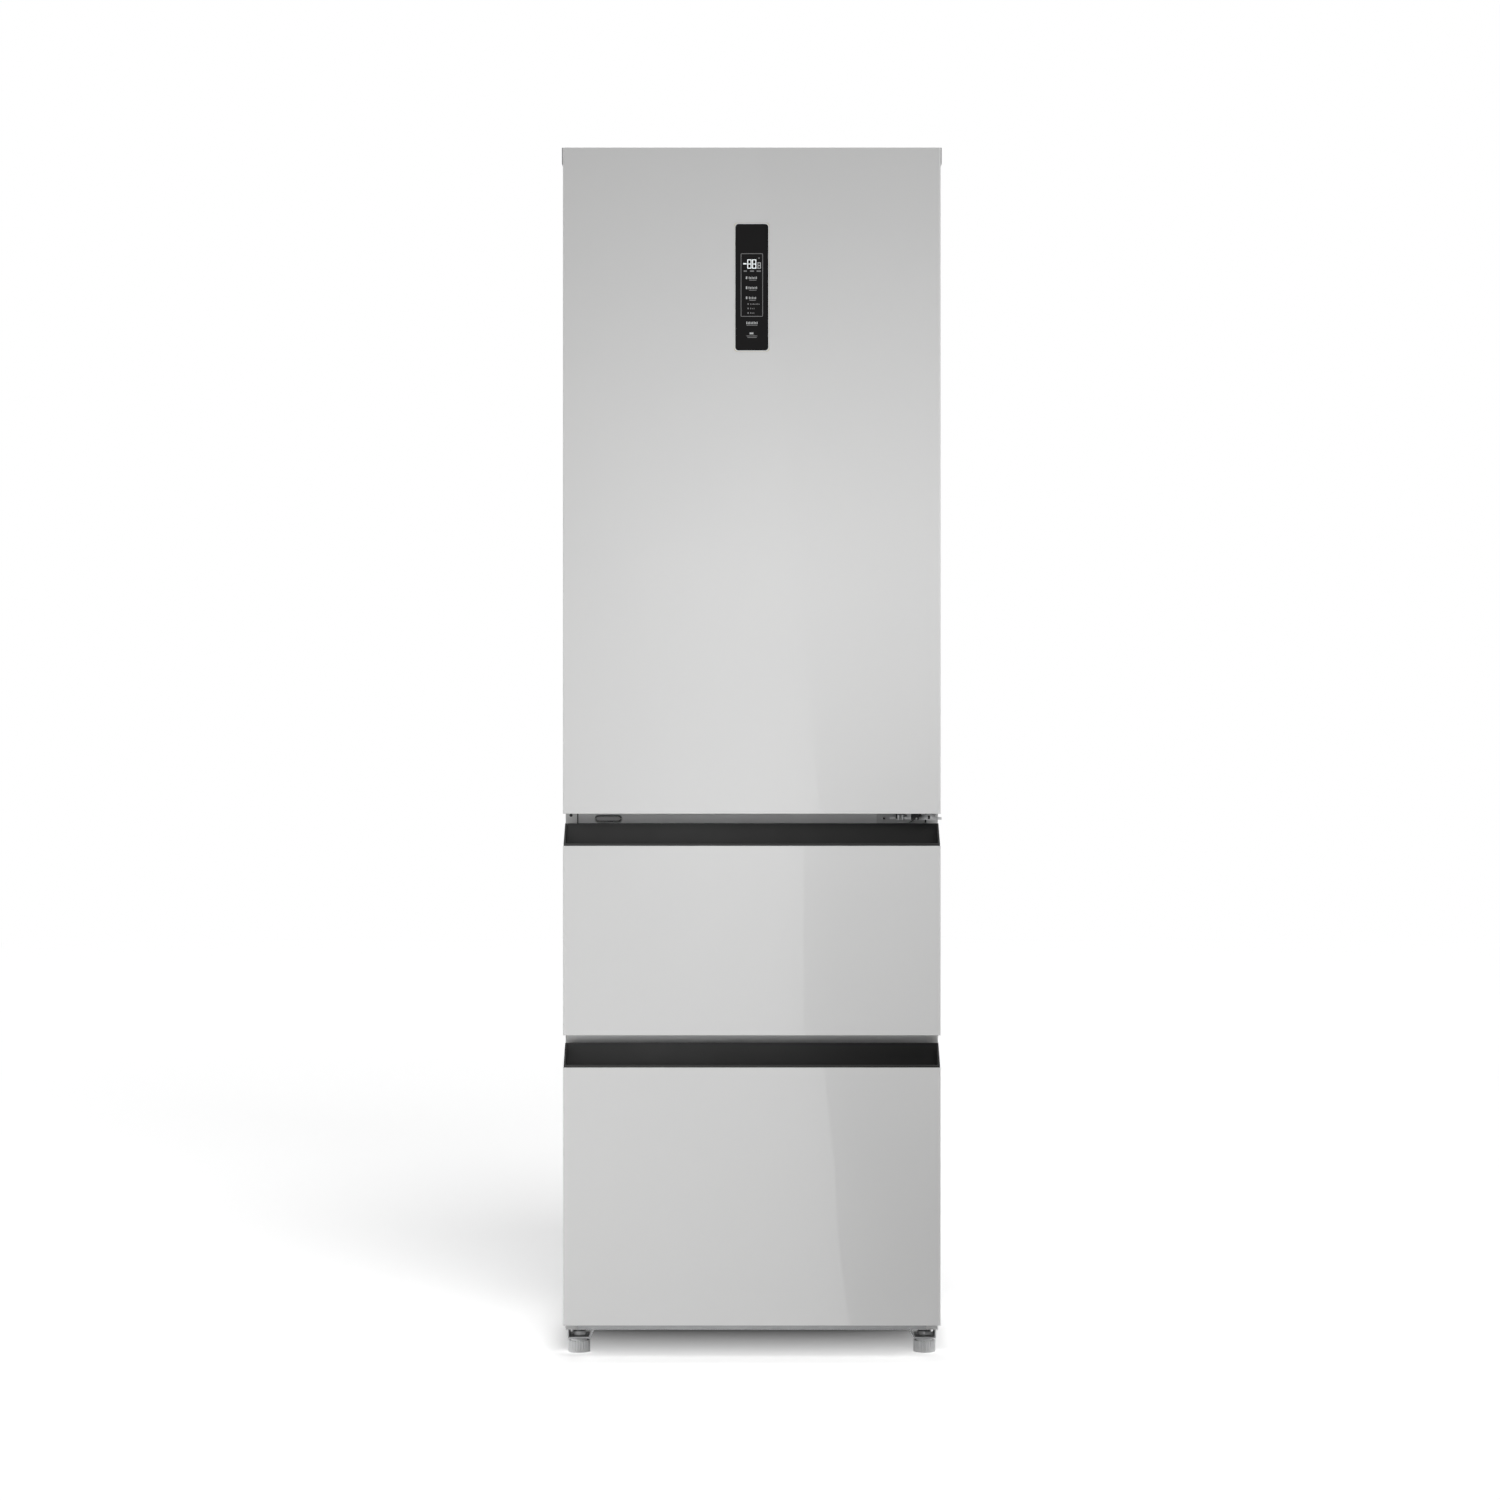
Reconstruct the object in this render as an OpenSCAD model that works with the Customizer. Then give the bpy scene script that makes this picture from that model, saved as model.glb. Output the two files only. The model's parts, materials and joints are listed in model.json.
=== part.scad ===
// Fridge freezer with three fronts: a hinged fridge door over two freezer drawers on telescopic slides.
// Sizes are in millimetres. +X is to the right, -Y is the front and +Z is up. The origin is on the
// floor, under the middle of the outline.

/* [Overall] */
// Height from the floor to the top trim
total_h = 1906; // [1880:1:1960]
// Depth from the face of the fronts to the louvres at the back
total_d = 660; // [640:1:720]
// Width of the steel cabinet
cab_w = 588; // [570:1:640]
// Height of the cabinet's underside over the floor
floor_gap = 39; // [36:1:48]

/* [Fronts] */
// How far the door and the drawer fronts stand out past each side of the cabinet
front_over = 1; // [0:0.5:3]
// Distance from the face of the fronts to the cabinet's front plane
front_zone = 65; // [60:1:75]
// Thickness of a front without its gasket
front_t = 57; // [52:1:60]
// Height of the lower edge of the lower drawer front over the floor
low_z = 56; // [52:1:60]
// Height of the lower drawer front
low_h = 403; // [390:1:410]
// Height of the upper drawer front
up_h = 296; // [285:1:310]
// Gap over each drawer front, where the hand reaches into the grip
front_gap = 50; // [45:1:56]
// How far the door's top edge stays under the top of the trim
door_drop = 11; // [9:1:14]
// Thickness of the steel skin of a front
skin_t = 1; // [0.6:0.1:1.5]
// Radius of the upright edges of a front
edge_r = 3; // [2:0.5:5]

/* [Grips] */
// Height of the grip's back wall over the drawer front
grip_rise = 34; // [28:1:38]
// Height of the grip's front lip over the drawer front
lip_rise = 4; // [2:0.5:6]
// Depth of the finger trough under the drawer front's top edge
grip_dip = 26; // [20:1:32]
// Thickness of the grip's front lip
lip_t = 5; // [4:0.5:8]
// Wall of the grip moulding
grip_wall = 3; // [2:0.5:4]

/* [Display] */
// Width of the display glass
disp_w = 51.5; // [40:0.5:80]
// Height of the display glass
disp_h = 197.5; // [150:0.5:240]
// Thickness of the display glass
disp_t = 3; // [2:0.5:5]
// Radius of the corners of the display glass
disp_r = 5; // [3:0.5:8]
// Distance of the display's middle under the door's top edge
disp_drop = 218; // [150:1:400]

/* [Cabinet] */
// Thickness of the cabinet's steel sheet
shell_t = 1; // [0.6:0.1:1.5]
// Width of the steel flange round the cabinet's front
flange_w = 18; // [14:1:22]
// Thickness of the inner liners
liner_t = 2; // [1:0.5:3]
// Insulated side wall of the fridge space
fridge_wall = 45; // [40:1:50]
// Insulated side wall of the freezer space
freezer_wall = 56; // [52:1:62]
// Insulated back wall of the fridge space
fridge_back = 55; // [50:1:65]
// Insulated back wall of the freezer space
freezer_back = 68; // [60:1:80]
// Insulated roof of the fridge space
roof_t = 50; // [45:1:60]
// How far a crossbeam reaches past the edges of the fronts next to it
beam_over = 25; // [22:1:27]
// Depth of the crossbeams
beam_d = 40; // [30:1:50]
// Height of the machine space under the freezer's back
mach_h = 206; // [200:1:215]
// Depth of the machine space
mach_d = 208; // [200:1:225]
// Height of the top trim over the cabinet
trim_h = 10; // [8:1:14]
// How far the trim's ears stand out from the cabinet's sides
ear_out = 6; // [4:1:8]
// Height of the trim's ears
ear_h = 26; // [20:1:32]
// Depth of the top trim
trim_d = 115; // [100:1:140]

/* [Door] */
// Distance of the hinge axis from the cabinet's right side
hinge_in = 9; // [8:0.5:12]
// Distance of the hinge axis behind the door's face
hinge_back = 22; // [20:0.5:26]
// Diameter of the hinge pins
pin_d = 8; // [6:0.5:10]
// Radial running clearance of pins and shafts
run_fit = 0.05; // [0.02:0.01:0.08]
// Height of the door's plastic end caps
cap_h = 14; // [12:1:18]
// Depth of the liner ribs that carry the door bins
rib_d = 68; // [60:1:76]
// Width of the liner ribs
rib_w = 36; // [30:1:42]
// Distance from the rib's outer side to the fridge's side wall
rib_gap = 17; // [15:1:22]
// Depth of a door bin
bin_d = 82; // [76:1:84]
// Height of a door bin's body
bin_h = 105; // [90:1:120]

/* [Drawers] */
// Height of a telescopic slide
rail_h = 42; // [38:1:46]
// Thickness of the slides' steel
rail_t = 1.5; // [1.2:0.1:2]
// Diameter of the slides' bearing balls
ball_d = 4.2; // [3.6:0.1:4.6]
// Wall of the plastic boxes
box_t = 2.5; // [2:0.5:4]
// Radius of the upright corners of the boxes and bins
corner_r = 8; // [5:0.5:14]
// Space behind the upper freezer box, in front of the evaporator's cover
up_box_room = 18; // [12:1:60]
// Space behind the lower freezer box, in front of the step
low_box_room = 20; // [12:1:60]

/* [Feet] */
// Diameter of the levelling feet
foot_d = 35; // [30:1:40]
// Height of the levelling feet's knobs
foot_h = 21; // [18:1:22]
// Diameter of the rear rollers
roller_d = 34; // [28:1:40]

/* [Hidden] */
$fn = 48;

// Gap between pieces that move past each other, and the overrun of a cut
gap = 0.4;
cut = 1;

// Planes of the outline, from the front to the back and from the floor up
front_y = -total_d / 2;
cab_y = front_y + front_zone;
front_back_y = front_y + front_t;
cover_out = 10;
back_y = total_d / 2 - cover_out;
cab_top = total_h - trim_h;
up_z = low_z + low_h + front_gap;
door_z = up_z + up_h + front_gap;
door_top = total_h - door_drop;
half_w = cab_w / 2;
half_front = half_w + front_over;
disp_z = door_top - disp_drop;

// Crossbeams between the fronts
up_beam_z = [up_z + up_h - beam_over, door_z + beam_over];
low_beam_z = [low_z + low_h - beam_over, up_z + beam_over];
beam_x = half_w - flange_w;
beam_lip = 5;

// Fridge space
fridge_x = half_w - fridge_wall;
fridge_z = [up_beam_z[1] + beam_lip, cab_top - roof_t];
fridge_y = back_y - fridge_back;

// Freezer space, whose floor steps up over the machine space
freezer_x = half_w - freezer_wall;
rail_top = low_z + 27;
freezer_z = [rail_top + liner_t, up_beam_z[0] - beam_lip];
freezer_y = back_y - freezer_back;
step_wall = 45;
step_y = back_y - mach_d - step_wall;
step_z = floor_gap + mach_h + step_wall;
mach_y = back_y - mach_d;
pan_t = 2;
mach_z = [floor_gap + pan_t, floor_gap + mach_h];
mach_x = half_w - 13;
lip_out = flange_w / 2;
evap_front = freezer_y - 60;
cover_y = evap_front - 12;

// Hinge axis
hinge_x = half_w - hinge_in;
hinge_y = front_y + hinge_back;
plate_t = 4;
arm_z = door_z - 9.5;
top_arm_z = door_top - 6;

// Gasket ring: its distance from a front's edges, its width and its free length
gasket_in = 7;
gasket_low = 6;
gasket_w = 13;
gasket_end = cab_y - 0.5;

// Shelf heights: the undersides of the glass
glass_t = 4;
crisper_h = 193;
fridge_h = fridge_z[1] - fridge_z[0];
shelf_z = [fridge_z[0] + crisper_h, fridge_z[0] + 0.463 * fridge_h, fridge_z[0] + 0.723 * fridge_h];
shelf_front = cab_y + 105;
shelf_back = fridge_y - 22;
ledge_h = 9;
ledge_w = 7;
trim_over = [7, 6];

// Bins: the undersides of their bodies
bin_z = [fridge_z[0] + 6, fridge_z[0] + 0.343 * fridge_h, fridge_z[0] + 0.666 * fridge_h];
rib_out = fridge_x - rib_gap;
rib_in = rib_out - rib_w;
lug = [3.6, 24, 9];
lug_z = 60;
bin_side = rib_in - lug[0] - gap;

// Slides: the middle heights of the upper and the lower pair
carrier_up = 4;
rim_t = 3;
up_rail_z = up_z + up_h - gasket_low - gasket_w - 40 - carrier_up - rail_h / 2;
low_rail_z = low_beam_z[0] - 8 - carrier_up - rail_h / 2;
rail_y = cab_y + 12;
box_y = cab_y + 7;
up_box_d = cover_y - up_box_room - box_y;
low_box_d = step_y - low_box_room - box_y;
up_rail = up_box_d - 20;
low_rail = low_box_d - 5;
ball_gap = ball_d + 0.25;
carrier_u = 15;
box_x = freezer_x - carrier_u - 11;
up_box_z = [low_beam_z[1] + 11, up_rail_z + rail_h / 2 + carrier_up];
low_box_z = [freezer_z[0] + 10, low_rail_z + rail_h / 2 + carrier_up];

// Feet and rollers
foot_x = half_w - 20;
foot_y = cab_y + 32.5;
stud_d = 10;
bracket_z = floor_gap - 15;
roller_x = half_w - 32;
roller_y = back_y - 38;
roller_w = 22;

// Machine space pieces
comp_x = -half_w + 144;
comp_y = mach_y + 108;
mount_h = 14;
fan_x = 12;
fan_y = mach_y + 104;
fan_z = mach_z[0] + 92;
fan_r = 70;
ring_r = fan_r + 4;

// Box between two opposite corners
module block(a, b) { translate(a) cube(b - a); }

// The same shape on the left and on the right
module both_sides() {
    children();
    mirror([1, 0, 0]) children();
}

// An outline drawn as (x, z), swept along Y
module along_y(y0, y1) {
    translate([0, y1, 0]) rotate([90, 0, 0]) linear_extrude(y1 - y0) children();
}

// An outline drawn as (y, z), swept along X
module along_x(x0, x1) {
    translate([x0, 0, 0]) rotate([90, 0, 90]) linear_extrude(x1 - x0) children();
}

// Rectangle with round corners, from corner to corner
module round_rect(a, b, r) {
    translate([a[0] + r, a[1]]) square([b[0] - a[0] - 2 * r, b[1] - a[1]]);
    translate([a[0], a[1] + r]) square([b[0] - a[0], b[1] - a[1] - 2 * r]);
    for (x = [a[0] + r, b[0] - r], y = [a[1] + r, b[1] - r]) translate([x, y]) circle(r);
}

// Flat ring in a front's plane, from its outer edges inward
module ring(x, z, w, y) {
    difference() {
        block([-x, y[0], z[0]], [x, y[1], z[1]]);
        block([-x + w, y[0] - cut, z[0] + w], [x - w, y[1] + cut, z[1] - w]);
    }
}

// Open tray with a rim bead: x and y corners, height range, wall and corner radius
module tray(a, b, z, t, r) {
    difference() {
        translate([0, 0, z[0]]) linear_extrude(z[1] - z[0]) round_rect(a, b, r);
        translate([0, 0, z[0] + t]) linear_extrude(z[1] - z[0])
            round_rect([a[0] + t, a[1] + t], [b[0] - t, b[1] - t], r - t);
    }
}

// Band round a tray's outside
module band(a, b, z, t, out, r) {
    difference() {
        translate([0, 0, z[0]]) linear_extrude(z[1] - z[0])
            round_rect([a[0] - out, a[1] - out], [b[0] + out, b[1] + out], r + out);
        translate([0, 0, z[0] - cut]) linear_extrude(z[1] - z[0] + 2 * cut)
            round_rect([a[0] + t, a[1] + t], [b[0] - t, b[1] - t], r - t);
    }
}

// Cabinet: one folded sheet over the sides and the top, with flanges at the front and the back
module outer_shell() {
    rear = back_y - shell_t;
    color("#d8d8d6") difference() {
        block([-half_w, cab_y, floor_gap], [half_w, rear, cab_top]);
        block([-half_w + shell_t, cab_y + shell_t, floor_gap - cut],
              [half_w - shell_t, rear - shell_t, cab_top - shell_t]);
        block([-beam_x, cab_y - cut, floor_gap - cut], [beam_x, cab_y + 2 * shell_t, cab_top - flange_w]);
        block([-half_w + 12, rear - 2 * shell_t, floor_gap - cut], [half_w - 12, rear + cut, cab_top - 12]);
    }
}

module back_panel() {
    color("#b9bcbc") difference() {
        block([-half_w + shell_t, back_y - shell_t, mach_z[1] + 5],
              [half_w - shell_t, back_y, cab_top - shell_t]);
        for (z = [mach_z[1] + 25, cab_top - 20], x = [-1, 1]) translate([x * (half_w - 7), back_y, z])
            rotate([90, 0, 0]) cylinder(d = 3, h = 3 * shell_t, center = true);
    }
}

// Outer outline of the fridge liner, with its lip behind the cabinet's flange
module fridge_space(t) {
    block([-fridge_x - t, cab_y + shell_t, fridge_z[0] - t], [fridge_x + t, fridge_y + t, fridge_z[1] + t]);
}

module fridge_lip() {
    block([-half_w + lip_out, cab_y + shell_t, up_beam_z[1]],
          [half_w - lip_out, cab_y + shell_t + liner_t, cab_top - lip_out]);
}

module fridge_liner() {
    color("#f2f2ef") {
        difference() {
            union() {
                fridge_space(liner_t);
                fridge_lip();
            }
            block([-fridge_x, cab_y - cut, fridge_z[0]], [fridge_x, fridge_y, fridge_z[1]]);
        }
        for (z = shelf_z) both_sides() shelf_ledge(z);
    }
}

// Moulded ledge on the liner's side wall, with a rounded front end
module shelf_ledge(z) {
    x = fridge_x - ledge_w;
    start = shelf_front + trim_over[0] + ledge_h / 2 + 2 * gap;
    block([x, start, z - ledge_h], [fridge_x + cut / 2, shelf_back - trim_over[1] - 2 * gap, z]);
    translate([x, start, z - ledge_h / 2]) rotate([0, 90, 0]) cylinder(d = ledge_h, h = ledge_w + cut / 2);
}

// Side outline (y, z) of the freezer space, grown by t, with the step over the machine space
module freezer_outline(t) {
    polygon([
        [cab_y + shell_t, freezer_z[0] - t], [step_y + t, freezer_z[0] - t],
        [step_y + t, step_z - t], [freezer_y + t, step_z - t],
        [freezer_y + t, freezer_z[1] + t], [cab_y + shell_t, freezer_z[1] + t]
    ]);
}

module freezer_lip() {
    block([-half_w + lip_out, cab_y + shell_t, rail_top],
          [half_w - lip_out, cab_y + shell_t + liner_t, up_beam_z[0]]);
}

module freezer_liner() {
    color("#eef0f1") difference() {
        union() {
            along_x(-freezer_x - liner_t, freezer_x + liner_t) freezer_outline(liner_t);
            freezer_lip();
        }
        along_x(-freezer_x, freezer_x) freezer_outline(0);
        block([-freezer_x, cab_y - cut, freezer_z[0]], [freezer_x, cab_y + 2 * cut, freezer_z[1]]);
    }
}

// Foamed insulation between the shell and the liners
module insulation_foam() {
    rear = back_y - shell_t;
    color("#e9dfb4") difference() {
        block([-half_w + shell_t, cab_y + shell_t, floor_gap + pan_t],
              [half_w - shell_t, rear, cab_top - shell_t]);
        for (x = [-half_w, half_w - 12]) block([x, rear - shell_t, 0], [x + 12, rear + cut, cab_top]);
        block([-half_w, rear - shell_t, cab_top - 12], [half_w, rear + cut, cab_top]);
        fridge_space(liner_t);
        fridge_lip();
        along_x(-freezer_x - liner_t, freezer_x + liner_t) freezer_outline(liner_t);
        freezer_lip();
        block([-beam_x, cab_y, up_beam_z[0]], [beam_x, cab_y + beam_d, up_beam_z[1]]);
        block([-beam_x, cab_y, floor_gap], [beam_x, cab_y + rail_t, rail_top]);
        block([-mach_x, mach_y, 0], [mach_x, back_y, mach_z[1]]);
        for (x = [-foot_x, foot_x]) translate([x, foot_y, floor_gap]) cylinder(d = stud_d + 4, h = 22);
    }
}

// Steel pan with the front rail, the foot brackets and the roller forks
module base_pan() {
    color("#9a9d9e") difference() {
        union() {
            block([-half_w + shell_t, cab_y + rail_t, floor_gap],
                  [half_w - shell_t, back_y - 2 * shell_t, floor_gap + pan_t]);
            block([-beam_x, cab_y, floor_gap], [beam_x, cab_y + rail_t, rail_top]);
            both_sides() foot_bracket();
            both_sides() roller_fork();
        }
        for (x = [-foot_x, foot_x]) translate([x, foot_y, bracket_z - cut])
            cylinder(d = stud_d + 2 * run_fit, h = 40);
    }
}

// Folded bracket that holds a foot's stud, with a slanted inner side
module foot_bracket() {
    out = half_w - 3;
    inner = half_w - 38;
    difference() {
        along_y(cab_y + 8, cab_y + 62)
            polygon([[out, floor_gap], [out, bracket_z], [inner, bracket_z], [inner - 8, floor_gap]]);
        along_y(cab_y + 8 - cut, cab_y + 62 + cut)
            polygon([[out - 2, floor_gap], [out - 2, bracket_z + 2.5], [inner + 2, bracket_z + 2.5],
                     [inner - 5, floor_gap]]);
    }
}

// Two cheeks and the axle of a rear roller
module roller_fork() {
    side = roller_w / 2 + gap;
    for (x = [roller_x - side - 2.5, roller_x + side]) along_x(x, x + 2.5) {
        translate([roller_y, roller_d / 2]) circle(d = 18);
        translate([roller_y - 9, roller_d / 2]) square([18, floor_gap - roller_d / 2 + 0.5]);
    }
    translate([roller_x - side - 4, roller_y, roller_d / 2]) rotate([0, 90, 0])
        cylinder(d = pin_d, h = 2 * side + 8);
}

// Channel across the front between the fridge and the freezer
module upper_crossbeam() {
    color("#c3c5c5") {
        difference() {
            block([-beam_x, cab_y, up_beam_z[0]], [beam_x, cab_y + beam_d, up_beam_z[1]]);
            block([-beam_x + rail_t, cab_y + rail_t, up_beam_z[0] + rail_t],
                  [beam_x - rail_t, cab_y + beam_d - rail_t, up_beam_z[1] - rail_t]);
            along_y(cab_y - cut, cab_y + 2 * rail_t) plug_outline(-4);
        }
    }
}

// Insulated bar across the freezer opening, between the drawers
module lower_crossbeam() {
    inner_x = freezer_x - 0.2;
    color("#c3c5c5") {
        block([-beam_x, cab_y, low_beam_z[0]], [beam_x, cab_y + shell_t, low_beam_z[1]]);
        along_x(-inner_x, inner_x) polygon([
            [cab_y + shell_t / 2, low_beam_z[0]], [cab_y + beam_d - 6, low_beam_z[0]],
            [cab_y + beam_d, low_beam_z[0] + 6], [cab_y + beam_d, low_beam_z[1] - 6],
            [cab_y + beam_d - 6, low_beam_z[1]], [cab_y + shell_t / 2, low_beam_z[1]]
        ]);
    }
}

// Plastic trim over the cabinet's front edge, with ears down its sides and room for the hinge
module top_trim() {
    wall = 2.5;
    out = half_w + ear_out;
    slope = cab_y + trim_d - 18;
    color("#c9caca") difference() {
        union() {
            block([-out, cab_y, cab_top], [out, slope, total_h]);
            along_x(-out, out) polygon([[slope - wall, cab_top], [cab_y + trim_d, cab_top],
                [cab_y + trim_d, cab_top + 2], [slope, total_h], [slope - wall, total_h]]);
            both_sides() along_y(cab_y, slope) polygon([[half_w, total_h], [out, total_h],
                [out, total_h - ear_h], [half_w, total_h - ear_h - 3]]);
        }
        block([-half_w + 3, cab_y + wall, cab_top - cut], [half_w - 3, slope - 2, total_h - wall]);
        block([half_w - 62, cab_y - cut, cab_top - cut], [half_w - 3, cab_y + 2 * wall, total_h - wall]);
    }
}

plug_x = -226.3;
plug_z = door_z - 9.4;
plug_w = 44.2;
plug_h = 13.6;

// Oval outline of the plug, grown by t
module plug_outline(t) {
    r = plug_h / 2 + t;
    for (s = [-1, 1]) translate([plug_x + s * (plug_w - plug_h) / 2, plug_z]) circle(r);
    translate([plug_x - (plug_w - plug_h) / 2, plug_z - r]) square([plug_w - plug_h, 2 * r]);
}

// Plug over the spare hinge holes, so that the door can be hung on the other side
module hinge_plug() {
    color("#d5d6d6") {
        along_y(cab_y - 1.2, cab_y) plug_outline(0);
        along_y(cab_y - 1.8, cab_y - 1.2) plug_outline(-1);
        along_y(cab_y, cab_y + 6) plug_outline(-4.2);
    }
}

// Cranked plate on the cabinet's top, with the pin that enters the door's top cap
module top_hinge() {
    tip = hinge_x - half_front + 13.5;
    step = cab_y - 0.6;
    color("#8f9293") {
        difference() {
            union() {
                block([hinge_x - 34, step - 3, top_arm_z], [hinge_x + 4, step, cab_top + 3]);
                block([hinge_x - 34, step - cut, cab_top], [hinge_x + 4, cab_y + 60, cab_top + 3]);
                linear_arm(top_arm_z, 3, 8, hinge_x - 34, hinge_x + 4, step - 3);
            }
            for (x = [hinge_x - 26, hinge_x - 4], y = [cab_y + 16, cab_y + 46])
                translate([x, y, cab_top - cut]) cylinder(d = 5, h = 6);
        }
        translate([hinge_x, hinge_y, top_arm_z - 12]) cylinder(d = pin_d, h = 12 + cut);
    }
}

// Flat arm from a straight edge at y to a round tip at the hinge axis
module linear_arm(z, t, r, x0, x1, y) {
    translate([0, 0, z]) linear_extrude(t) {
        polygon([[x0, y], [x0, y - 8], [hinge_x - r * 0.7, hinge_y - r * 0.7],
                 [hinge_x + r, hinge_y], [x1, y - 8], [x1, y]]);
        translate([hinge_x, hinge_y]) circle(r);
    }
}

// Places (x, z) of the middle hinge's screws: one beside the arm and one under it
hinge_screw_at = [[hinge_x - 76.4, arm_z + 1], [hinge_x - 30, arm_z - 18]];

// Middle hinge: flange on the crossbeam, arm, pin into the door and stop boss
module middle_hinge() {
    face = cab_y - 3;
    color("#8f9293") {
        difference() {
            block([hinge_x - 88, face, arm_z - 28], [hinge_x - 9, cab_y, arm_z + plate_t + 3.5]);
            for (p = hinge_screw_at) translate([p[0], cab_y + cut, p[1]])
                rotate([90, 0, 0]) cylinder(d = 4.2, h = 6);
        }
        linear_arm(arm_z, plate_t, 12.5, hinge_x - 67, hinge_x - 9, face + 0.5);
        translate([hinge_x, hinge_y, arm_z]) cylinder(d = pin_d, h = plate_t + 5.5 + 12);
        translate([hinge_x - 52, cab_y - 12, arm_z + plate_t - 0.5]) cylinder(d = 15, h = 5);
    }
}

// Pan-head screws of the hinges
module hinge_screws() {
    color("#6f7274") {
        for (p = hinge_screw_at) translate([p[0], cab_y - 3, p[1]]) rotate([90, 0, 0]) {
            cylinder(d = 7, h = 2);
            translate([0, 0, -2.9]) cylinder(d = 4, h = 3);
        }
        for (x = [hinge_x - 26, hinge_x - 4], y = [cab_y + 16, cab_y + 46])
            translate([x, y, cab_top + 3]) {
                cylinder(d = 9, h = 2.5);
                translate([0, 0, -3]) cylinder(d = 4.6, h = 3.2);
            }
    }
}

comp_base = mach_z[0] + mount_h;
comp_r = 62;
comp_h = 138;

// Hermetic compressor: welded pot, foot plate, three pipe stubs and the terminal box
module compressor() {
    color("#2b2c2e") translate([comp_x, comp_y, comp_base]) {
        rotate_extrude() polygon(concat(
            [[0, 0], [comp_r - 8, 0], [comp_r, 10], [comp_r, 66], [comp_r + 3, 66], [comp_r + 3, 72],
             [comp_r, 72]],
            [for (a = [0:10:80]) [30 + (comp_r - 30) * cos(a), 72 + (comp_h - 72) * sin(a)]],
            [[30, comp_h], [0, comp_h]]));
        linear_extrude(3) difference() {
            round_rect([-92, -62], [92, 62], 12);
            for (x = [-78, 78], y = [-48, 48]) translate([x, y]) circle(d = 8);
        }
        translate([-comp_r + 6, -22, 22]) rotate([0, -90, 0]) linear_extrude(22) round_rect([0, 0], [44, 44], 5);
        for (a = [20, 55, 90]) rotate([0, 0, a]) translate([comp_r - 6, 0, 40]) {
            rotate([0, 90, 0]) cylinder(d = 8, h = 18);
            translate([18, 0, 0]) sphere(d = 8);
            translate([18, 0, 0]) cylinder(d = 8, h = 30);
        }
    }
}

// Rubber feet of the compressor on their studs
module compressor_mounts() {
    color("#1d1d1d") for (x = [-78, 78], y = [-48, 48])
        translate([comp_x + x, comp_y + y, mach_z[0]]) rotate_extrude()
            polygon([[0, 0], [12, 0], [12, 5], [9, 6.5], [12, 8], [12, mount_h], [3.8, mount_h],
                     [3.8, mount_h + 3], [8, mount_h + 3], [8, mount_h + 7], [0, mount_h + 7]]);
}

gland_x = half_w - 58;
gland_z = mach_z[0] + 24;

// Pressed cover of the machine space, with a rim and two columns of hooded louvres
module machine_cover() {
    low = floor_gap + 3;
    high = mach_z[1] + 3;
    face = back_y + 4;
    side = half_w - 4;
    color("#a7aaab") {
        difference() {
            block([-side, back_y - shell_t, low], [side, face + 2, high]);
            block([-side + 7, back_y - 2, low + 3], [side - 7, face, high - 3]);
            for (z = [mach_z[0] + 40:15:mach_z[1] - 24]) both_sides()
                block([24, face - cut, z], [half_w - 74, face + 2 + cut, z + 6]);
            translate([gland_x, back_y, gland_z]) rotate([-90, 0, 0]) cylinder(d = 16, h = 12);
        }
        for (z = [mach_z[0] + 40:15:mach_z[1] - 24]) both_sides() along_x(23, half_w - 73)
            polygon([[face + 1, z + 8], [face + 2, z + 8], [back_y + cover_out, z + 1],
                     [back_y + cover_out - 1, z], [face + 1, z + 6.6]]);
    }
}

// Bushing where the supply cord enters
module cord_gland() {
    color("#1f1f20") translate([gland_x, back_y + 6, gland_z]) rotate([-90, 0, 0]) difference() {
        union() {
            cylinder(d = 26, h = 3);
            translate([0, 0, -14]) cylinder(d = 15.6, h = 14);
        }
        translate([0, 0, -15]) cylinder(d = 7.5, h = 20);
    }
}

// Tray on the compressor, where melt water dries off
module drip_tray() {
    z = comp_base + comp_h;
    over = [comp_r + 33, comp_r + 10];
    color("#3a3b3d") {
        low = [comp_x, comp_y] - over;
        high = [comp_x, comp_y] + over;
        tray(low, high, [z, z + 26], 2, 14);
        band(low, high, [z + 24, z + 26], 1, 4, 14);
    }
}

// Tube that runs to and fro between two end sheets: length, runs, pitch, layers, depth pitch, diameter
module serpentine(len, runs, pitch, layers, step, d) {
    for (k = [0:layers - 1], j = [0:runs - 1]) translate([0, k * step, j * pitch])
        rotate([0, 90, 0]) cylinder(d = d, h = len - 0.8, center = true);
    for (k = [0:layers - 1], j = [0:runs - 2]) {
        side = (j + k * (runs - 1)) % 2 == 0 ? 1 : -1;
        translate([side * len / 2, k * step, (j + 0.5) * pitch]) rotate([90, -side * 90, 0])
            rotate_extrude(angle = 180) translate([pitch / 2, 0]) circle(d = d);
    }
    for (k = [0:1:layers - 2]) {
        side = ((runs - 1) * (k + 1)) % 2 == 0 ? -1 : 1;
        translate([side * len / 2, (k + 0.5) * step, (k % 2 == 0 ? runs - 1 : 0) * pitch])
            rotate([0, 0, -side * 90]) rotate_extrude(angle = 180) translate([step / 2, 0]) circle(d = d);
    }
}

// Condenser between two plates that stand on the pan
module condenser_coil() {
    x0 = fan_x + 72;
    length = 150;
    color("#3b3c3e") {
        translate([x0 + length / 2, mach_y + 52, mach_z[0] + 24]) serpentine(length, 7, 22, 3, 52, 8);
        for (x = [x0, x0 + length])
            block([x - 1, mach_y + 32, mach_z[0]], [x + 1, mach_y + 176, mach_z[0] + 174]);
    }
}

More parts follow.
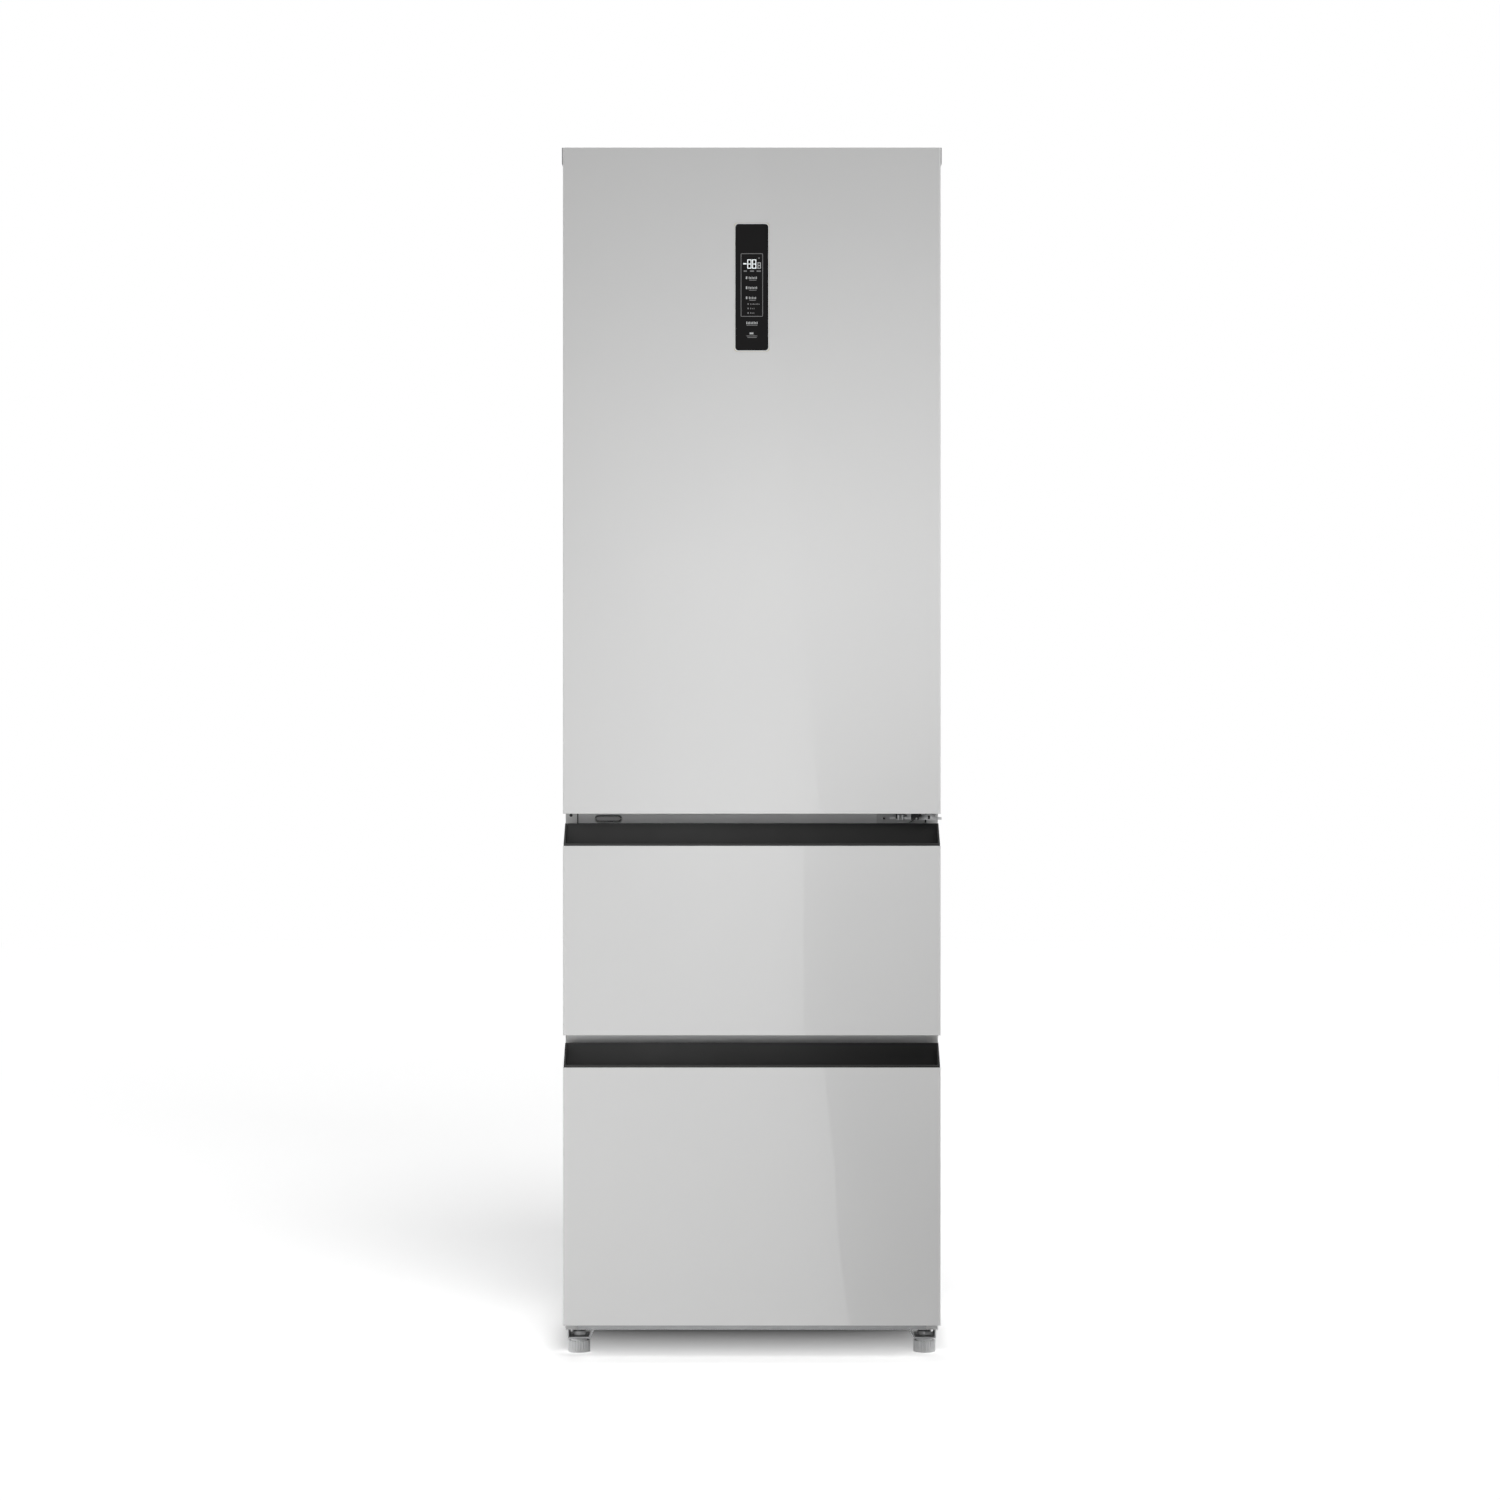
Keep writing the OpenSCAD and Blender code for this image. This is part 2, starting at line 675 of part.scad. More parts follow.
// Plate with a ring and spider arms, which carries the condenser fan's motor
module fan_shroud() {
    color("#26272a") {
        difference() {
            union() {
                block([fan_x, mach_y + 6, mach_z[0]], [fan_x + 3, back_y - 14, mach_z[1] - 6]);
                translate([fan_x, fan_y, fan_z]) rotate([0, 90, 0]) cylinder(r = ring_r + 3, h = 30);
            }
            translate([fan_x - cut, fan_y, fan_z]) rotate([0, 90, 0]) cylinder(r = ring_r, h = 40);
        }
        translate([fan_x + 24, fan_y, fan_z]) rotate([0, 90, 0]) motor_spider(ring_r + 1, 20, 26, 20);
    }
}

// Three arms, the motor's cup and its shaft. Local +Z leads from the fan to the motor
module motor_spider(r, cup_r, cup_h, shaft) {
    for (a = [30:120:270]) rotate([0, 0, a]) translate([0, -4, 0]) cube([r, 8, 4]);
    cylinder(r = cup_r, h = cup_h);
    translate([0, 0, -shaft]) cylinder(d = 6, h = shaft + cut);
}

// Axial fan with flat raked blades. Local +Z leads to the motor
module fan(r, hub_r, hub_h, count) {
    difference() {
        union() {
            cylinder(r = hub_r, h = hub_h);
            for (i = [0:count - 1]) rotate([0, 0, i * 360 / count]) intersection() {
                translate([hub_r - 2, 0, hub_h / 2]) rotate([36, 0, 0])
                    translate([0, -hub_r * 0.95, -0.9]) cube([r, hub_r * 1.9, 1.8]);
                cylinder(r = r, h = hub_h);
            }
        }
        translate([0, 0, -cut]) cylinder(d = 6 + 2 * run_fit, h = hub_h + 2 * cut);
    }
}

module condenser_fan() {
    color("#47494c") translate([fan_x + 5, fan_y, fan_z]) rotate([0, 90, 0]) fan(fan_r, 20, 18, 6);
}

evap_z = step_z + 40;
run_pitch = 40;
runs = 6;
run_inset = 24;
evap_fan_z = freezer_z[1] - 85;
evap_fan_r = 54;

// Evaporator: two layers of tube with cooling fins between its end sheets
module evaporator() {
    length = 2 * freezer_x - 100;
    fins = 12;
    top = evap_z + (runs - 1) * run_pitch + 2 * run_inset;
    color("#c9ccce") {
        translate([0, evap_front + 15, evap_z + run_inset]) serpentine(length, runs, run_pitch, 2, 29, 9);
        for (i = [0:fins]) {
            t = i == 0 || i == fins ? 1 : 0.4;
            translate([length * (i / fins - 0.5), 0, 0])
                block([-t, evap_front, evap_z], [t, freezer_y - 0.3, top]);
        }
    }
}

// Cover in front of the evaporator, with cold-air outlets and the fan's ring
module evaporator_cover() {
    side = freezer_x - 0.3;
    low = step_z + 0.3;
    high = freezer_z[1] - 0.3;
    color("#f1f3f3") {
        difference() {
            block([-side, cover_y, low], [side, cover_y + 4, high]);
            for (i = [-2.5:1:2.5]) for (share = [0.12, 0.52])
                translate([i * side / 4, cover_y - cut, low + share * (high - low)]) rotate([-90, 0, 0])
                    linear_extrude(6) round_rect([-22, -5], [22, 5], 4.9);
            translate([0, cover_y - cut, evap_fan_z]) rotate([-90, 0, 0]) cylinder(r = evap_fan_r + 4, h = 6);
        }
        translate([0, cover_y, evap_fan_z]) rotate([-90, 0, 0]) {
            difference() {
                cylinder(r = evap_fan_r + 7, h = 34);
                translate([0, 0, -cut]) cylinder(r = evap_fan_r + 4, h = 36);
            }
            translate([0, 0, 26]) motor_spider(evap_fan_r + 5, 16, 24, 20);
        }
    }
}

module evaporator_fan() {
    color("#d9dcdd") translate([0, cover_y + 8, evap_fan_z]) rotate([-90, 0, 0]) fan(evap_fan_r, 15, 17, 7);
}

// Air duct up the fridge's back wall, with paired outlets between the shelves
module air_duct() {
    foot = fridge_x * 0.313;
    face = foot - 8;
    color("#f7f7f4") difference() {
        translate([0, 0, fridge_z[0] + 15]) linear_extrude(fridge_h - 30)
            polygon([[-foot, fridge_y], [-face, fridge_y - 15], [face, fridge_y - 15], [foot, fridge_y]]);
        for (z = shelf_z, x = [-40, 40]) translate([x, fridge_y - 16, z + 70]) rotate([-90, 0, 0])
            linear_extrude(7) round_rect([-18, -6], [18, 6], 5.9);
    }
}

// Diffuser of the lamp in the fridge's roof
module lamp_lens() {
    color("#fbfbf7") translate([0, cab_y + 150, fridge_z[1] - 7]) difference() {
        linear_extrude(7) round_rect([-75, -32], [75, 32], 10);
        translate([0, 0, 2]) linear_extrude(6) round_rect([-72, -29], [72, 29], 7);
    }
}

// Slide cross-sections, drawn inward from the wall: distance from it, height, depth and lip
module channel(u, h, d, lip) {
    translate([-u - rail_t, -h / 2]) square([rail_t, h]);
    for (s = [-1, 1]) scale([1, s]) {
        translate([-u - d, h / 2 - rail_t]) square([d, rail_t]);
        if (lip > 0) translate([-u - d, h / 2 - lip]) square([rail_t, lip]);
    }
}

mid_h = rail_h - 2 * rail_t - 2 * ball_gap;
inner_h = mid_h - 2 * rail_t - 2 * ball_gap;
ball_bite = 0.05;

// Fixed member of one slide on the liner's wall
module fixed_member(z, len) {
    along_y(rail_y, rail_y + len) translate([freezer_x, z]) channel(0, rail_h, 11, 4);
    along_y(rail_y + len - 4, rail_y + len) translate([freezer_x - 6, z - rail_h / 2]) square([6, 8]);
}

module fixed_rails() {
    color("#b7babb") both_sides() {
        fixed_member(up_rail_z, up_rail);
        fixed_member(low_rail_z, low_rail);
    }
}

// Row of balls in its retainer strip
module ball_row(y, u, v) {
    pitch = 18;
    translate([freezer_x - u, y, v]) {
        for (i = [0:3]) translate([0, i * pitch, 0]) sphere(d = ball_d);
        translate([-1.7, -6, -0.4]) cube([3.4, 3 * pitch + 12, 0.8]);
    }
}

// Middle member of one slide: its outer balls run in the fixed member, its inner balls in the inner one
module mid_member(z, len) {
    outer_v = mid_h / 2 + ball_d / 2 - ball_bite;
    inner_v = mid_h / 2 - rail_t - ball_d / 2 + ball_bite;
    along_y(rail_y, rail_y + len - 5) translate([freezer_x, z]) channel(2.5, mid_h, 8, 0);
    for (s = [-1, 1]) {
        ball_row(rail_y + len - 80, 6.5, z + s * outer_v);
        ball_row(rail_y + 14, 7.5, z + s * inner_v);
    }
}

// Inner member of one slide with the carrier that the box hangs on and the front's bracket
module inner_member(z, len) {
    top = rail_h / 2 + carrier_up;
    along_y(rail_y, rail_y + len - 6) translate([freezer_x, z]) channel(5, inner_h, 5.5, 0);
    along_y(front_back_y, rail_y + len - 6) translate([freezer_x, z]) {
        translate([-carrier_u, -inner_h / 2]) square([rail_t, inner_h / 2 + top]);
        translate([-carrier_u - 9, top - rail_t]) square([10, rail_t]);
    }
    for (y = [rail_y + 20, rail_y + len / 2, rail_y + len - 30]) translate([freezer_x - carrier_u + 0.5, y, z])
        rotate([0, 90, 0]) cylinder(d = 7, h = carrier_u - 6);
    block([freezer_x - carrier_u - 8, front_back_y, z - inner_h / 2],
          [freezer_x - carrier_u + 1, front_back_y + 2, z + top]);
}

// Tempered glass plate on the liner's ledges
module shelf_glass(z) {
    color("#cfe6e4", 0.5) block([-fridge_x + gap, shelf_front, z], [fridge_x - gap, shelf_back, z + glass_t]);
}

module shelf_top() { shelf_glass(shelf_z[2]); }
module shelf_middle() { shelf_glass(shelf_z[1]); }
module crisper_cover() { shelf_glass(shelf_z[0]); }

// Plastic edges gripping the front and back of the glass plates
module shelf_trims() {
    side = fridge_x - gap;
    color("#e9ebeb") for (z = shelf_z) {
        along_x(-side, side) difference() {
            union() {
                translate([shelf_front - 7, z - 2]) square([7 + trim_over[0], glass_t + 4]);
                translate([shelf_front - 7, z + glass_t / 2]) circle(d = glass_t + 4);
            }
            translate([shelf_front, z]) square([20, glass_t]);
        }
        along_x(-side, side) difference() {
            translate([shelf_back - trim_over[1], z - 2]) square([trim_over[1] + 3, glass_t + 10]);
            translate([shelf_back - 20, z]) square([20, glass_t]);
            translate([shelf_back - 20, z + glass_t + 2]) square([20, 20]);
        }
    }
}

// Points of a front's outline (x, y) from its back left round to its back right, shrunk by t
function front_points(t, back) = concat(
    [[-half_front + t, back]],
    [for (i = [0:6]) let (a = 180 + 15 * i)
        [-half_front + edge_r + (edge_r - t) * cos(a), front_y + edge_r + (edge_r - t) * sin(a)]],
    [for (i = [0:6]) let (a = 270 + 15 * i)
        [half_front - edge_r + (edge_r - t) * cos(a), front_y + edge_r + (edge_r - t) * sin(a)]],
    [[half_front - t, back]]
);

function backwards(p) = [for (i = [len(p) - 1:-1:0]) p[i]];

// Steel skin: the face and the folded sides of a front
module front_skin(z, h) {
    back = front_back_y - liner_t;
    translate([0, 0, z]) linear_extrude(h)
        polygon(concat(front_points(0, back), backwards(front_points(skin_t, back))));
}

// Upright slice of a front's inside, between two heights
module front_fill(z0, z1, d) {
    translate([0, 0, z0]) linear_extrude(z1 - z0) polygon(front_points(skin_t, front_y + d));
}

module display_outline(t) {
    half = [disp_w / 2 + t, disp_h / 2 + t];
    translate([0, disp_z]) round_rect(-half, half, disp_r + t);
}

cap_drop = 8;
cap_low = door_z + cap_h;
cap_high = door_top - cap_drop - cap_h;

module door_panel() {
    color("#d3d3d1") difference() {
        front_skin(door_z, door_top - door_z);
        along_y(front_y - cut, front_y + 2 * cut) display_outline(0.3);
        block([half_front - edge_r - 1, front_y + 5, door_top - cap_drop - 0.8],
              [half_front + cut, cab_y, door_top + cut]);
    }
}

module display_glass() {
    color("#242325") along_y(front_y, front_y + disp_t) display_outline(0);
}

plug_out = 11;
liner_y = front_back_y + plug_out;
rib_y = front_back_y + rib_d;
liner_z = [fridge_z[0] + 8, fridge_z[1] - 8];

// Raised middle and ribs of the door's liner, shrunk by t
module liner_form(t) {
    block([-rib_out + t, front_back_y - liner_t - cut, liner_z[0] + t],
          [rib_out - t, liner_y - t, liner_z[1] - t]);
    both_sides() translate([0, 0, liner_z[0] + t]) linear_extrude(liner_z[1] - liner_z[0] - 2 * t) polygon([
        [rib_in + t, front_back_y - liner_t], [rib_in + t, rib_y - 8], [rib_in + 6, rib_y - t],
        [rib_out - 9, rib_y - t], [rib_out - t, rib_y - 12], [rib_out - t, front_back_y - liner_t]
    ]);
}

module door_liner() {
    side = half_front - 3;
    lug_y = rib_y - 20 - lug[1];
    color("#f3f3f0") {
        difference() {
            union() {
                block([-side, front_back_y - liner_t, door_z + 3], [side, front_back_y, door_top - cap_drop]);
                intersection() {
                    liner_form(0);
                    block([-side, front_back_y - cut, door_z], [side, fridge_y, door_top]);
                }
            }
            liner_form(liner_t);
        }
        for (z = bin_z) both_sides() block([rib_in - lug[0], lug_y, z + lug_z - lug[2]],
                                           [rib_in + cut / 2, lug_y + lug[1], z + lug_z]);
    }
}

module door_foam() {
    color("#e9dfb4") difference() {
        union() {
            front_fill(cap_low, cap_high, front_t - liner_t);
            liner_form(liner_t);
        }
        along_y(front_y, front_y + disp_t) display_outline(0.3);
    }
}

// Magnetic gasket: foot in the liner's groove, bellows and magnet tube
module gasket_ring(z0, z1) {
    x = half_front - gasket_in;
    color("#e4e4e2") {
        ring(x, [z0, z1], gasket_w, [front_back_y, front_back_y + 2.5]);
        ring(x - 3, [z0 + 3, z1 - 3], gasket_w - 7, [front_back_y + 2.4, gasket_end - 2.9]);
        ring(x - 1, [z0 + 1, z1 - 1], gasket_w - 2, [gasket_end - 3, gasket_end]);
    }
}

module door_gasket() { gasket_ring(door_z + gasket_low, door_top - cap_drop - 1); }

// Bore that a hinge pin turns in
module pin_bore(z, h) {
    translate([hinge_x, hinge_y, z]) cylinder(r = pin_d / 2 + run_fit, h = h);
}

module door_top_cap() {
    top = door_top - cap_drop;
    side = half_front - 55;
    pitch = side / 3;
    color("#c4c5c5") difference() {
        front_fill(cap_high, top, front_t - liner_t);
        pin_bore(top - cap_h + 3, cap_h);
        for (x = [-side:pitch:side - pitch / 2])
            block([x, front_y + 10, top - 3], [x + 0.75 * pitch, front_back_y - 12, top + cut]);
    }
}

// Bottom cap with the bush of the hinge, the closer's lug and a finger recess at the free end
module door_bottom_cap() {
    color("#3a3b3c") {
        difference() {
            front_fill(door_z, cap_low, front_t - liner_t);
            pin_bore(door_z - cut, cap_h - 0.5);
            translate([0, 0, door_z - cut]) linear_extrude(8 + cut)
                round_rect([-half_front + 25, front_y + 14], [-half_front + 225, front_back_y - 13], 6);
        }
        translate([0, 0, door_z - 4.5]) linear_extrude(5)
            round_rect([hinge_x - 34, hinge_y - 8], [hinge_x - 20, hinge_y + 8], 3);
    }
}

// Door bin: tray, bead and the hooks that sit on the liner's lugs
module bin(z, h) {
    y0 = liner_y + gap;
    a = [-bin_side, y0];
    b = [bin_side, y0 + bin_d];
    top = z + h;
    lug_y = rib_y - 20 - lug[1];
    hook_z = z + lug_z + 0.3;
    color("#dfeaec", 0.6) {
        difference() {
            union() {
                tray(a, b, [z, top], box_t, corner_r);
                band(a, b, [top - 5, top], box_t / 2, 1.5, corner_r);
            }
            block([-bin_side - 3, y0 - 3, top - 0.42 * h], [bin_side + 3, y0 + 12, top + cut]);
        }
        both_sides() {
            block([bin_side - 0.5, lug_y - 5, hook_z], [rib_in - gap, lug_y + lug[1] + 5, hook_z + 6]);
            for (y = [lug_y - 5, lug_y + lug[1] + 0.6])
                block([bin_side - 0.5, y, hook_z - 14], [rib_in - gap, y + 4.4, hook_z + 1]);
        }
    }
}

module bin_top() { bin(bin_z[2], bin_h); }
module bin_middle() { bin(bin_z[1], bin_h); }
module bin_bottle() { bin(bin_z[0], bin_h + 20); }

// Grip moulding (y, z): front lip, finger trough and the high back wall
module grip_outline(z) {
    y0 = front_y;
    y1 = front_back_y;
    low = z - grip_dip;
    r = min(lip_t / 2 - 0.2, lip_rise / 2 + 0.5);
    translate([y0 + r, z + lip_rise - r]) circle(r);
    translate([y0 + lip_t - r, z + lip_rise - r]) circle(r);
    translate([y0 + r, z + 0.01]) square([lip_t - 2 * r, lip_rise - 0.01]);
    translate([y0, z]) square([lip_t, lip_rise - r]);
    polygon([
        [y0 + skin_t, z + 0.5], [y0 + lip_t, z + 0.5], [y0 + lip_t, low + 5], [y0 + lip_t + 5, low],
        [y1 - 16, low], [y1 - 11, low + 5], [y1 - 7, z + grip_rise], [y1, z + grip_rise],
        [y1, low - grip_wall], [y0 + skin_t, low - grip_wall]
    ]);
}

module grip(z) {
    side = half_front - skin_t;
    color("#2b2b2b") intersection() {
        union() {
            along_x(-side, side) grip_outline(z);
            both_sides() along_x(side - 3, side) polygon([
                [front_y + skin_t, z - grip_dip - 1], [front_y + lip_t / 2, z + lip_rise - 1],
                [front_back_y - 7, z + grip_rise], [front_back_y, z - grip_dip - 1]
            ]);
        }
        union() {
            front_fill(z - grip_dip - grip_wall, z, front_t);
            translate([0, -skin_t, z]) linear_extrude(grip_rise)
                polygon(front_points(skin_t, front_back_y + skin_t));
        }
    }
}

// Insulated inside of a drawer front: foam under the grip and a raised back
module front_core(z, h) {
    top = z + h - grip_dip - grip_wall;
    color("#e6e7e6") {
        front_fill(z, top, front_t);
        along_y(front_back_y - cut, front_back_y + 8) polygon([
            [-box_x + 18, z + 40], [box_x - 18, z + 40], [box_x - 12, z + 46], [box_x - 12, top - 46],
            [box_x - 18, top - 40], [-box_x + 18, top - 40], [-box_x + 12, top - 46], [-box_x + 12, z + 46]
        ]);
    }
}

// Freezer box: ribbed tray, bead and side flanges on the slides' carriers
module freezer_box(z, d) {
    a = [-box_x, box_y];
    b = [box_x, box_y + d];
    top = z[1] + rim_t;
    color("#e3eef1", 0.6) {
        difference() {
            tray(a, b, [z[0], top], box_t, corner_r);
            for (y = [box_y + 40:30:box_y + d - 40], s = [-1, 1])
                block([s * (box_x - 0.4) - 0.8, y, z[0] + 30], [s * (box_x - 0.4) + 0.8, y + 8, z[1] - 40]);
        }
        band(a, b, [z[1], top], box_t / 2, 2.5, corner_r);
        both_sides() block([box_x - 0.5, box_y + 16, z[1]], [freezer_x - carrier_u, box_y + d - 16, top]);
        block([-box_x / 3, box_y - 2.4, z[1] - 40], [box_x / 3, box_y + 0.5, z[1] - 36]);
    }
}

module upper_front_panel() { color("#d2d2d0") front_skin(up_z, up_h); }
module lower_front_panel() { color("#d2d2d0") front_skin(low_z, low_h); }
module upper_front_core() { front_core(up_z, up_h); }
module lower_front_core() { front_core(low_z, low_h); }
module upper_gasket() { gasket_ring(up_z + gasket_low, up_z + up_h - gasket_low); }
module lower_gasket() { gasket_ring(low_z + gasket_low, low_z + low_h - gasket_low); }
module upper_grip() { grip(up_z + up_h); }
module lower_grip() { grip(low_z + low_h); }
module upper_box() { freezer_box(up_box_z, up_box_d); }
module lower_box() { freezer_box(low_box_z, low_box_d); }
module upper_inner_rails() { color("#c3c6c7") both_sides() inner_member(up_rail_z, up_rail); }
module lower_inner_rails() { color("#c3c6c7") both_sides() inner_member(low_rail_z, low_rail); }
module upper_mid_rails() { color("#aeb1b3") both_sides() mid_member(up_rail_z, up_rail); }
module lower_mid_rails() { color("#aeb1b3") both_sides() mid_member(low_rail_z, low_rail); }

// Crisper drawer with a curved pull along its front edge
module crisper_drawer() {
    side = fridge_x - 13;
    a = [-side, shelf_front + 38];
    b = [side, fridge_y - 65];
    z0 = fridge_z[0] + 0.3;
    top = shelf_z[0] - 14;
    color("#dcebee", 0.6) {
        tray(a, b, [z0, top], box_t, corner_r);
        band(a, b, [top - 4, top], box_t / 2, 2, corner_r);
        along_x(-side + 30, side - 30) polygon([
            [a[1] + 1, top - 4], [a[1] - 6, top - 4], [a[1] - 10, top - 10], [a[1] - 10, top - 22],
            [a[1] - 7.5, top - 22], [a[1] - 7.5, top - 11], [a[1] - 5, top - 7], [a[1] + 1, top - 7]
        ]);
    }
}

// Levelling foot: ribbed knob and threaded stud
module foot(x) {
    color("#cfd0d0") translate([x, foot_y, 0]) {
        difference() {
            cylinder(d = foot_d, h = foot_h - 3);
            for (a = [0:15:345]) rotate([0, 0, a]) translate([foot_d / 2 + 1, 0, 3]) cylinder(d = 4, h = foot_h);
        }
        translate([0, 0, foot_h - 3]) cylinder(d = foot_d - 9, h = 3);
        cylinder(d = stud_d, h = floor_gap + 12);
    }
}

module front_foot_left() { foot(-foot_x); }
module front_foot_right() { foot(foot_x); }

// Rear roller with a rounded tread
module roller(x) {
    color("#2a2a2b") translate([x - roller_w / 2, roller_y, roller_d / 2]) rotate([0, 90, 0]) difference() {
        rotate_extrude() polygon([
            [0, 0], [roller_d / 2 - 6, 0], [roller_d / 2 - 5, 1.5], [roller_d / 2 - 2, 1.5], [roller_d / 2, 4],
            [roller_d / 2, roller_w - 4], [roller_d / 2 - 2, roller_w - 1.5], [roller_d / 2 - 5, roller_w - 1.5],
            [roller_d / 2 - 6, roller_w], [0, roller_w]
        ]);
        translate([0, 0, -cut]) cylinder(r = pin_d / 2 + run_fit, h = roller_w + 2 * cut);
    }
}

module roller_left() { roller(-roller_x); }
module roller_right() { roller(roller_x); }

outer_shell();
back_panel();
insulation_foam();
fridge_liner();
freezer_liner();
base_pan();
upper_crossbeam();
lower_crossbeam();
top_trim();
hinge_plug();
top_hinge();
middle_hinge();
hinge_screws();
compressor();
compressor_mounts();
machine_cover();
drip_tray();
condenser_coil();
fan_shroud();
evaporator();
evaporator_cover();
air_duct();
lamp_lens();
cord_gland();
fixed_rails();
crisper_cover();
shelf_top();
shelf_middle();
shelf_trims();
door_panel();
door_foam();
door_liner();
door_gasket();
door_top_cap();
door_bottom_cap();
display_glass();
bin_top();
bin_middle();
bin_bottle();
upper_front_panel();
upper_front_core();
upper_gasket();
upper_grip();
upper_box();
upper_inner_rails();
upper_mid_rails();
lower_front_panel();
lower_front_core();
lower_gasket();
lower_grip();
lower_box();
lower_inner_rails();
lower_mid_rails();
crisper_drawer();
evaporator_fan();
condenser_fan();
front_foot_left();
front_foot_right();
roller_left();
roller_right();
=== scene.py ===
# %% [markdown]
# # A fridge freezer, dressed around its working model
#
# The working model holds every piece at its real size. This notebook gives each of them its finish,
# adds the fine pieces that only the eye needs, and lights the whole like a catalogue picture.

# %% Load the working model
import json
import math

import bpy
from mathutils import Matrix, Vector


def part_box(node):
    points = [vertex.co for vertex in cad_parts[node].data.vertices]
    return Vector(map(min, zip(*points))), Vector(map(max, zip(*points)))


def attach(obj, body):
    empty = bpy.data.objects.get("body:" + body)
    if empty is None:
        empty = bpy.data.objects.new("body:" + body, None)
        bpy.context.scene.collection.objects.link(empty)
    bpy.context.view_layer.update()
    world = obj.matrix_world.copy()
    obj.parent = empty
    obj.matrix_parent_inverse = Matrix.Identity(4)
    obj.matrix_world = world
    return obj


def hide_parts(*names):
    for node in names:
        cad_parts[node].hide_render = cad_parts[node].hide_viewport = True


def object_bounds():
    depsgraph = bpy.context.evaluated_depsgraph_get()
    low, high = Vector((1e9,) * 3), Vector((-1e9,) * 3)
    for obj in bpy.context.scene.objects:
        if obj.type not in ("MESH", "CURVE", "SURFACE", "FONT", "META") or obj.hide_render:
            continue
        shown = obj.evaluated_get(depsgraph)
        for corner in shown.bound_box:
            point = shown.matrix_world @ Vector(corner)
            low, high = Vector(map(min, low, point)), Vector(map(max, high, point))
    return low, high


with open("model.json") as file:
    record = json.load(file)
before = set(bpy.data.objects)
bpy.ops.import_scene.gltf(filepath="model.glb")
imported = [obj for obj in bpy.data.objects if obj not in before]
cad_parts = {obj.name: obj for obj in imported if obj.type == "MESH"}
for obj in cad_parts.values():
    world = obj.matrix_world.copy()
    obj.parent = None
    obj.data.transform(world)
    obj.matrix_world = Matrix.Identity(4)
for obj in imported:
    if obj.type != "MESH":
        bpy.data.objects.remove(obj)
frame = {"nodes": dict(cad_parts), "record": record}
CAD_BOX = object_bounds()
NODES = frame["nodes"]
MM = 0.001

# %% [markdown]
# ## Camera
#
# The photograph was taken straight from the front with a long lens. How much smaller the cabinet
# looks than the fronts before it tells how far away the camera stood.

# %% Camera
FRONT_Y = CAD_BOX[0][1]
PX = 0.00156085
FRAME_PX = 1500
MIDDLE_PX = 751.8
EYE_Z = 0.9546
EYE_DISTANCE = 5.5
SENSOR = 36.0

def add_camera():
    data = bpy.data.cameras.new("camera")
    data.sensor_width = SENSOR
    data.lens = SENSOR * EYE_DISTANCE / (FRAME_PX * PX)
    eye = bpy.data.objects.new("camera", data)
    bpy.context.scene.collection.objects.link(eye)
    eye.location = ((FRAME_PX / 2 - MIDDLE_PX) * PX, FRONT_Y - EYE_DISTANCE, EYE_Z)
    eye.rotation_euler = (math.radians(90), 0, 0)
    bpy.context.scene.camera = eye
    return eye

camera = add_camera()
print("lens", round(camera.data.lens, 1), "mm")

# %% Place of a pixel on the face of the fronts
def at_pixel(px, py, depth=0.0):
    """Metres (x, z) of the photograph's pixel, on a plane that lies depth behind the fronts."""
    scale = PX * (1 + depth / EYE_DISTANCE)
    return (px - MIDDLE_PX) * scale, EYE_Z + (FRAME_PX / 2 - py) * scale

# %% [markdown]
# ## Studio
#
# The floor and the world read as white to the camera, but light the object at a plain level. Four wide
# distant lights, like windows, throw the soft shadow to the left and back. Six small soft lamps before
# the fronts shape the slow fall of light over them, and two distant lights from the sides draw the
# bright line down each rolled edge. None of the lamps mirrors in the lacquer: what the fronts mirror
# is the white room and the dark card below.

# %% Helpers for node trees
def add_node(tree, kind, inputs={}, **settings):
    """A node; each input, by name or number, takes a socket or a constant."""
    node = tree.nodes.new(kind)
    for key, value in settings.items():
        setattr(node, key, value)
    for key, value in inputs.items():
        if isinstance(value, bpy.types.NodeSocket):
            tree.links.new(value, node.inputs[key])
        else:
            node.inputs[key].default_value = value
    return node

def calculate(tree, operation, first, second=0.0):
    """Output of a Math node."""
    return add_node(tree, "ShaderNodeMath", {0: first, 1: second}, operation=operation).outputs[0]

def ramp(tree, value, start, end, low, high):
    """Output that goes from low to high while value goes from start to end."""
    inputs = {"Value": value, "From Min": start, "From Max": end, "To Min": low, "To Max": high}
    return add_node(tree, "ShaderNodeMapRange", inputs).outputs[0]

# %% Helpers for the studio's surfaces
def empty_tree(block):
    """The emptied node tree of a world or a material."""
    block.use_nodes = True
    block.node_tree.nodes.clear()
    return block.node_tree

def own_point(tree):
    """The shaded point in the object's own metres."""
    return add_node(tree, "ShaderNodeTexCoord").outputs["Object"]

def split_axes(tree, vector):
    """Sockets X, Y and Z of a vector."""
    return add_node(tree, "ShaderNodeSeparateXYZ", {0: vector}).outputs

def mix_shaders(tree, share, below, above):
    return add_node(tree, "ShaderNodeMixShader", {0: share, 1: below, 2: above}).outputs[0]

# %% World
AMBIENT = 0.10
WHITE = 1.0

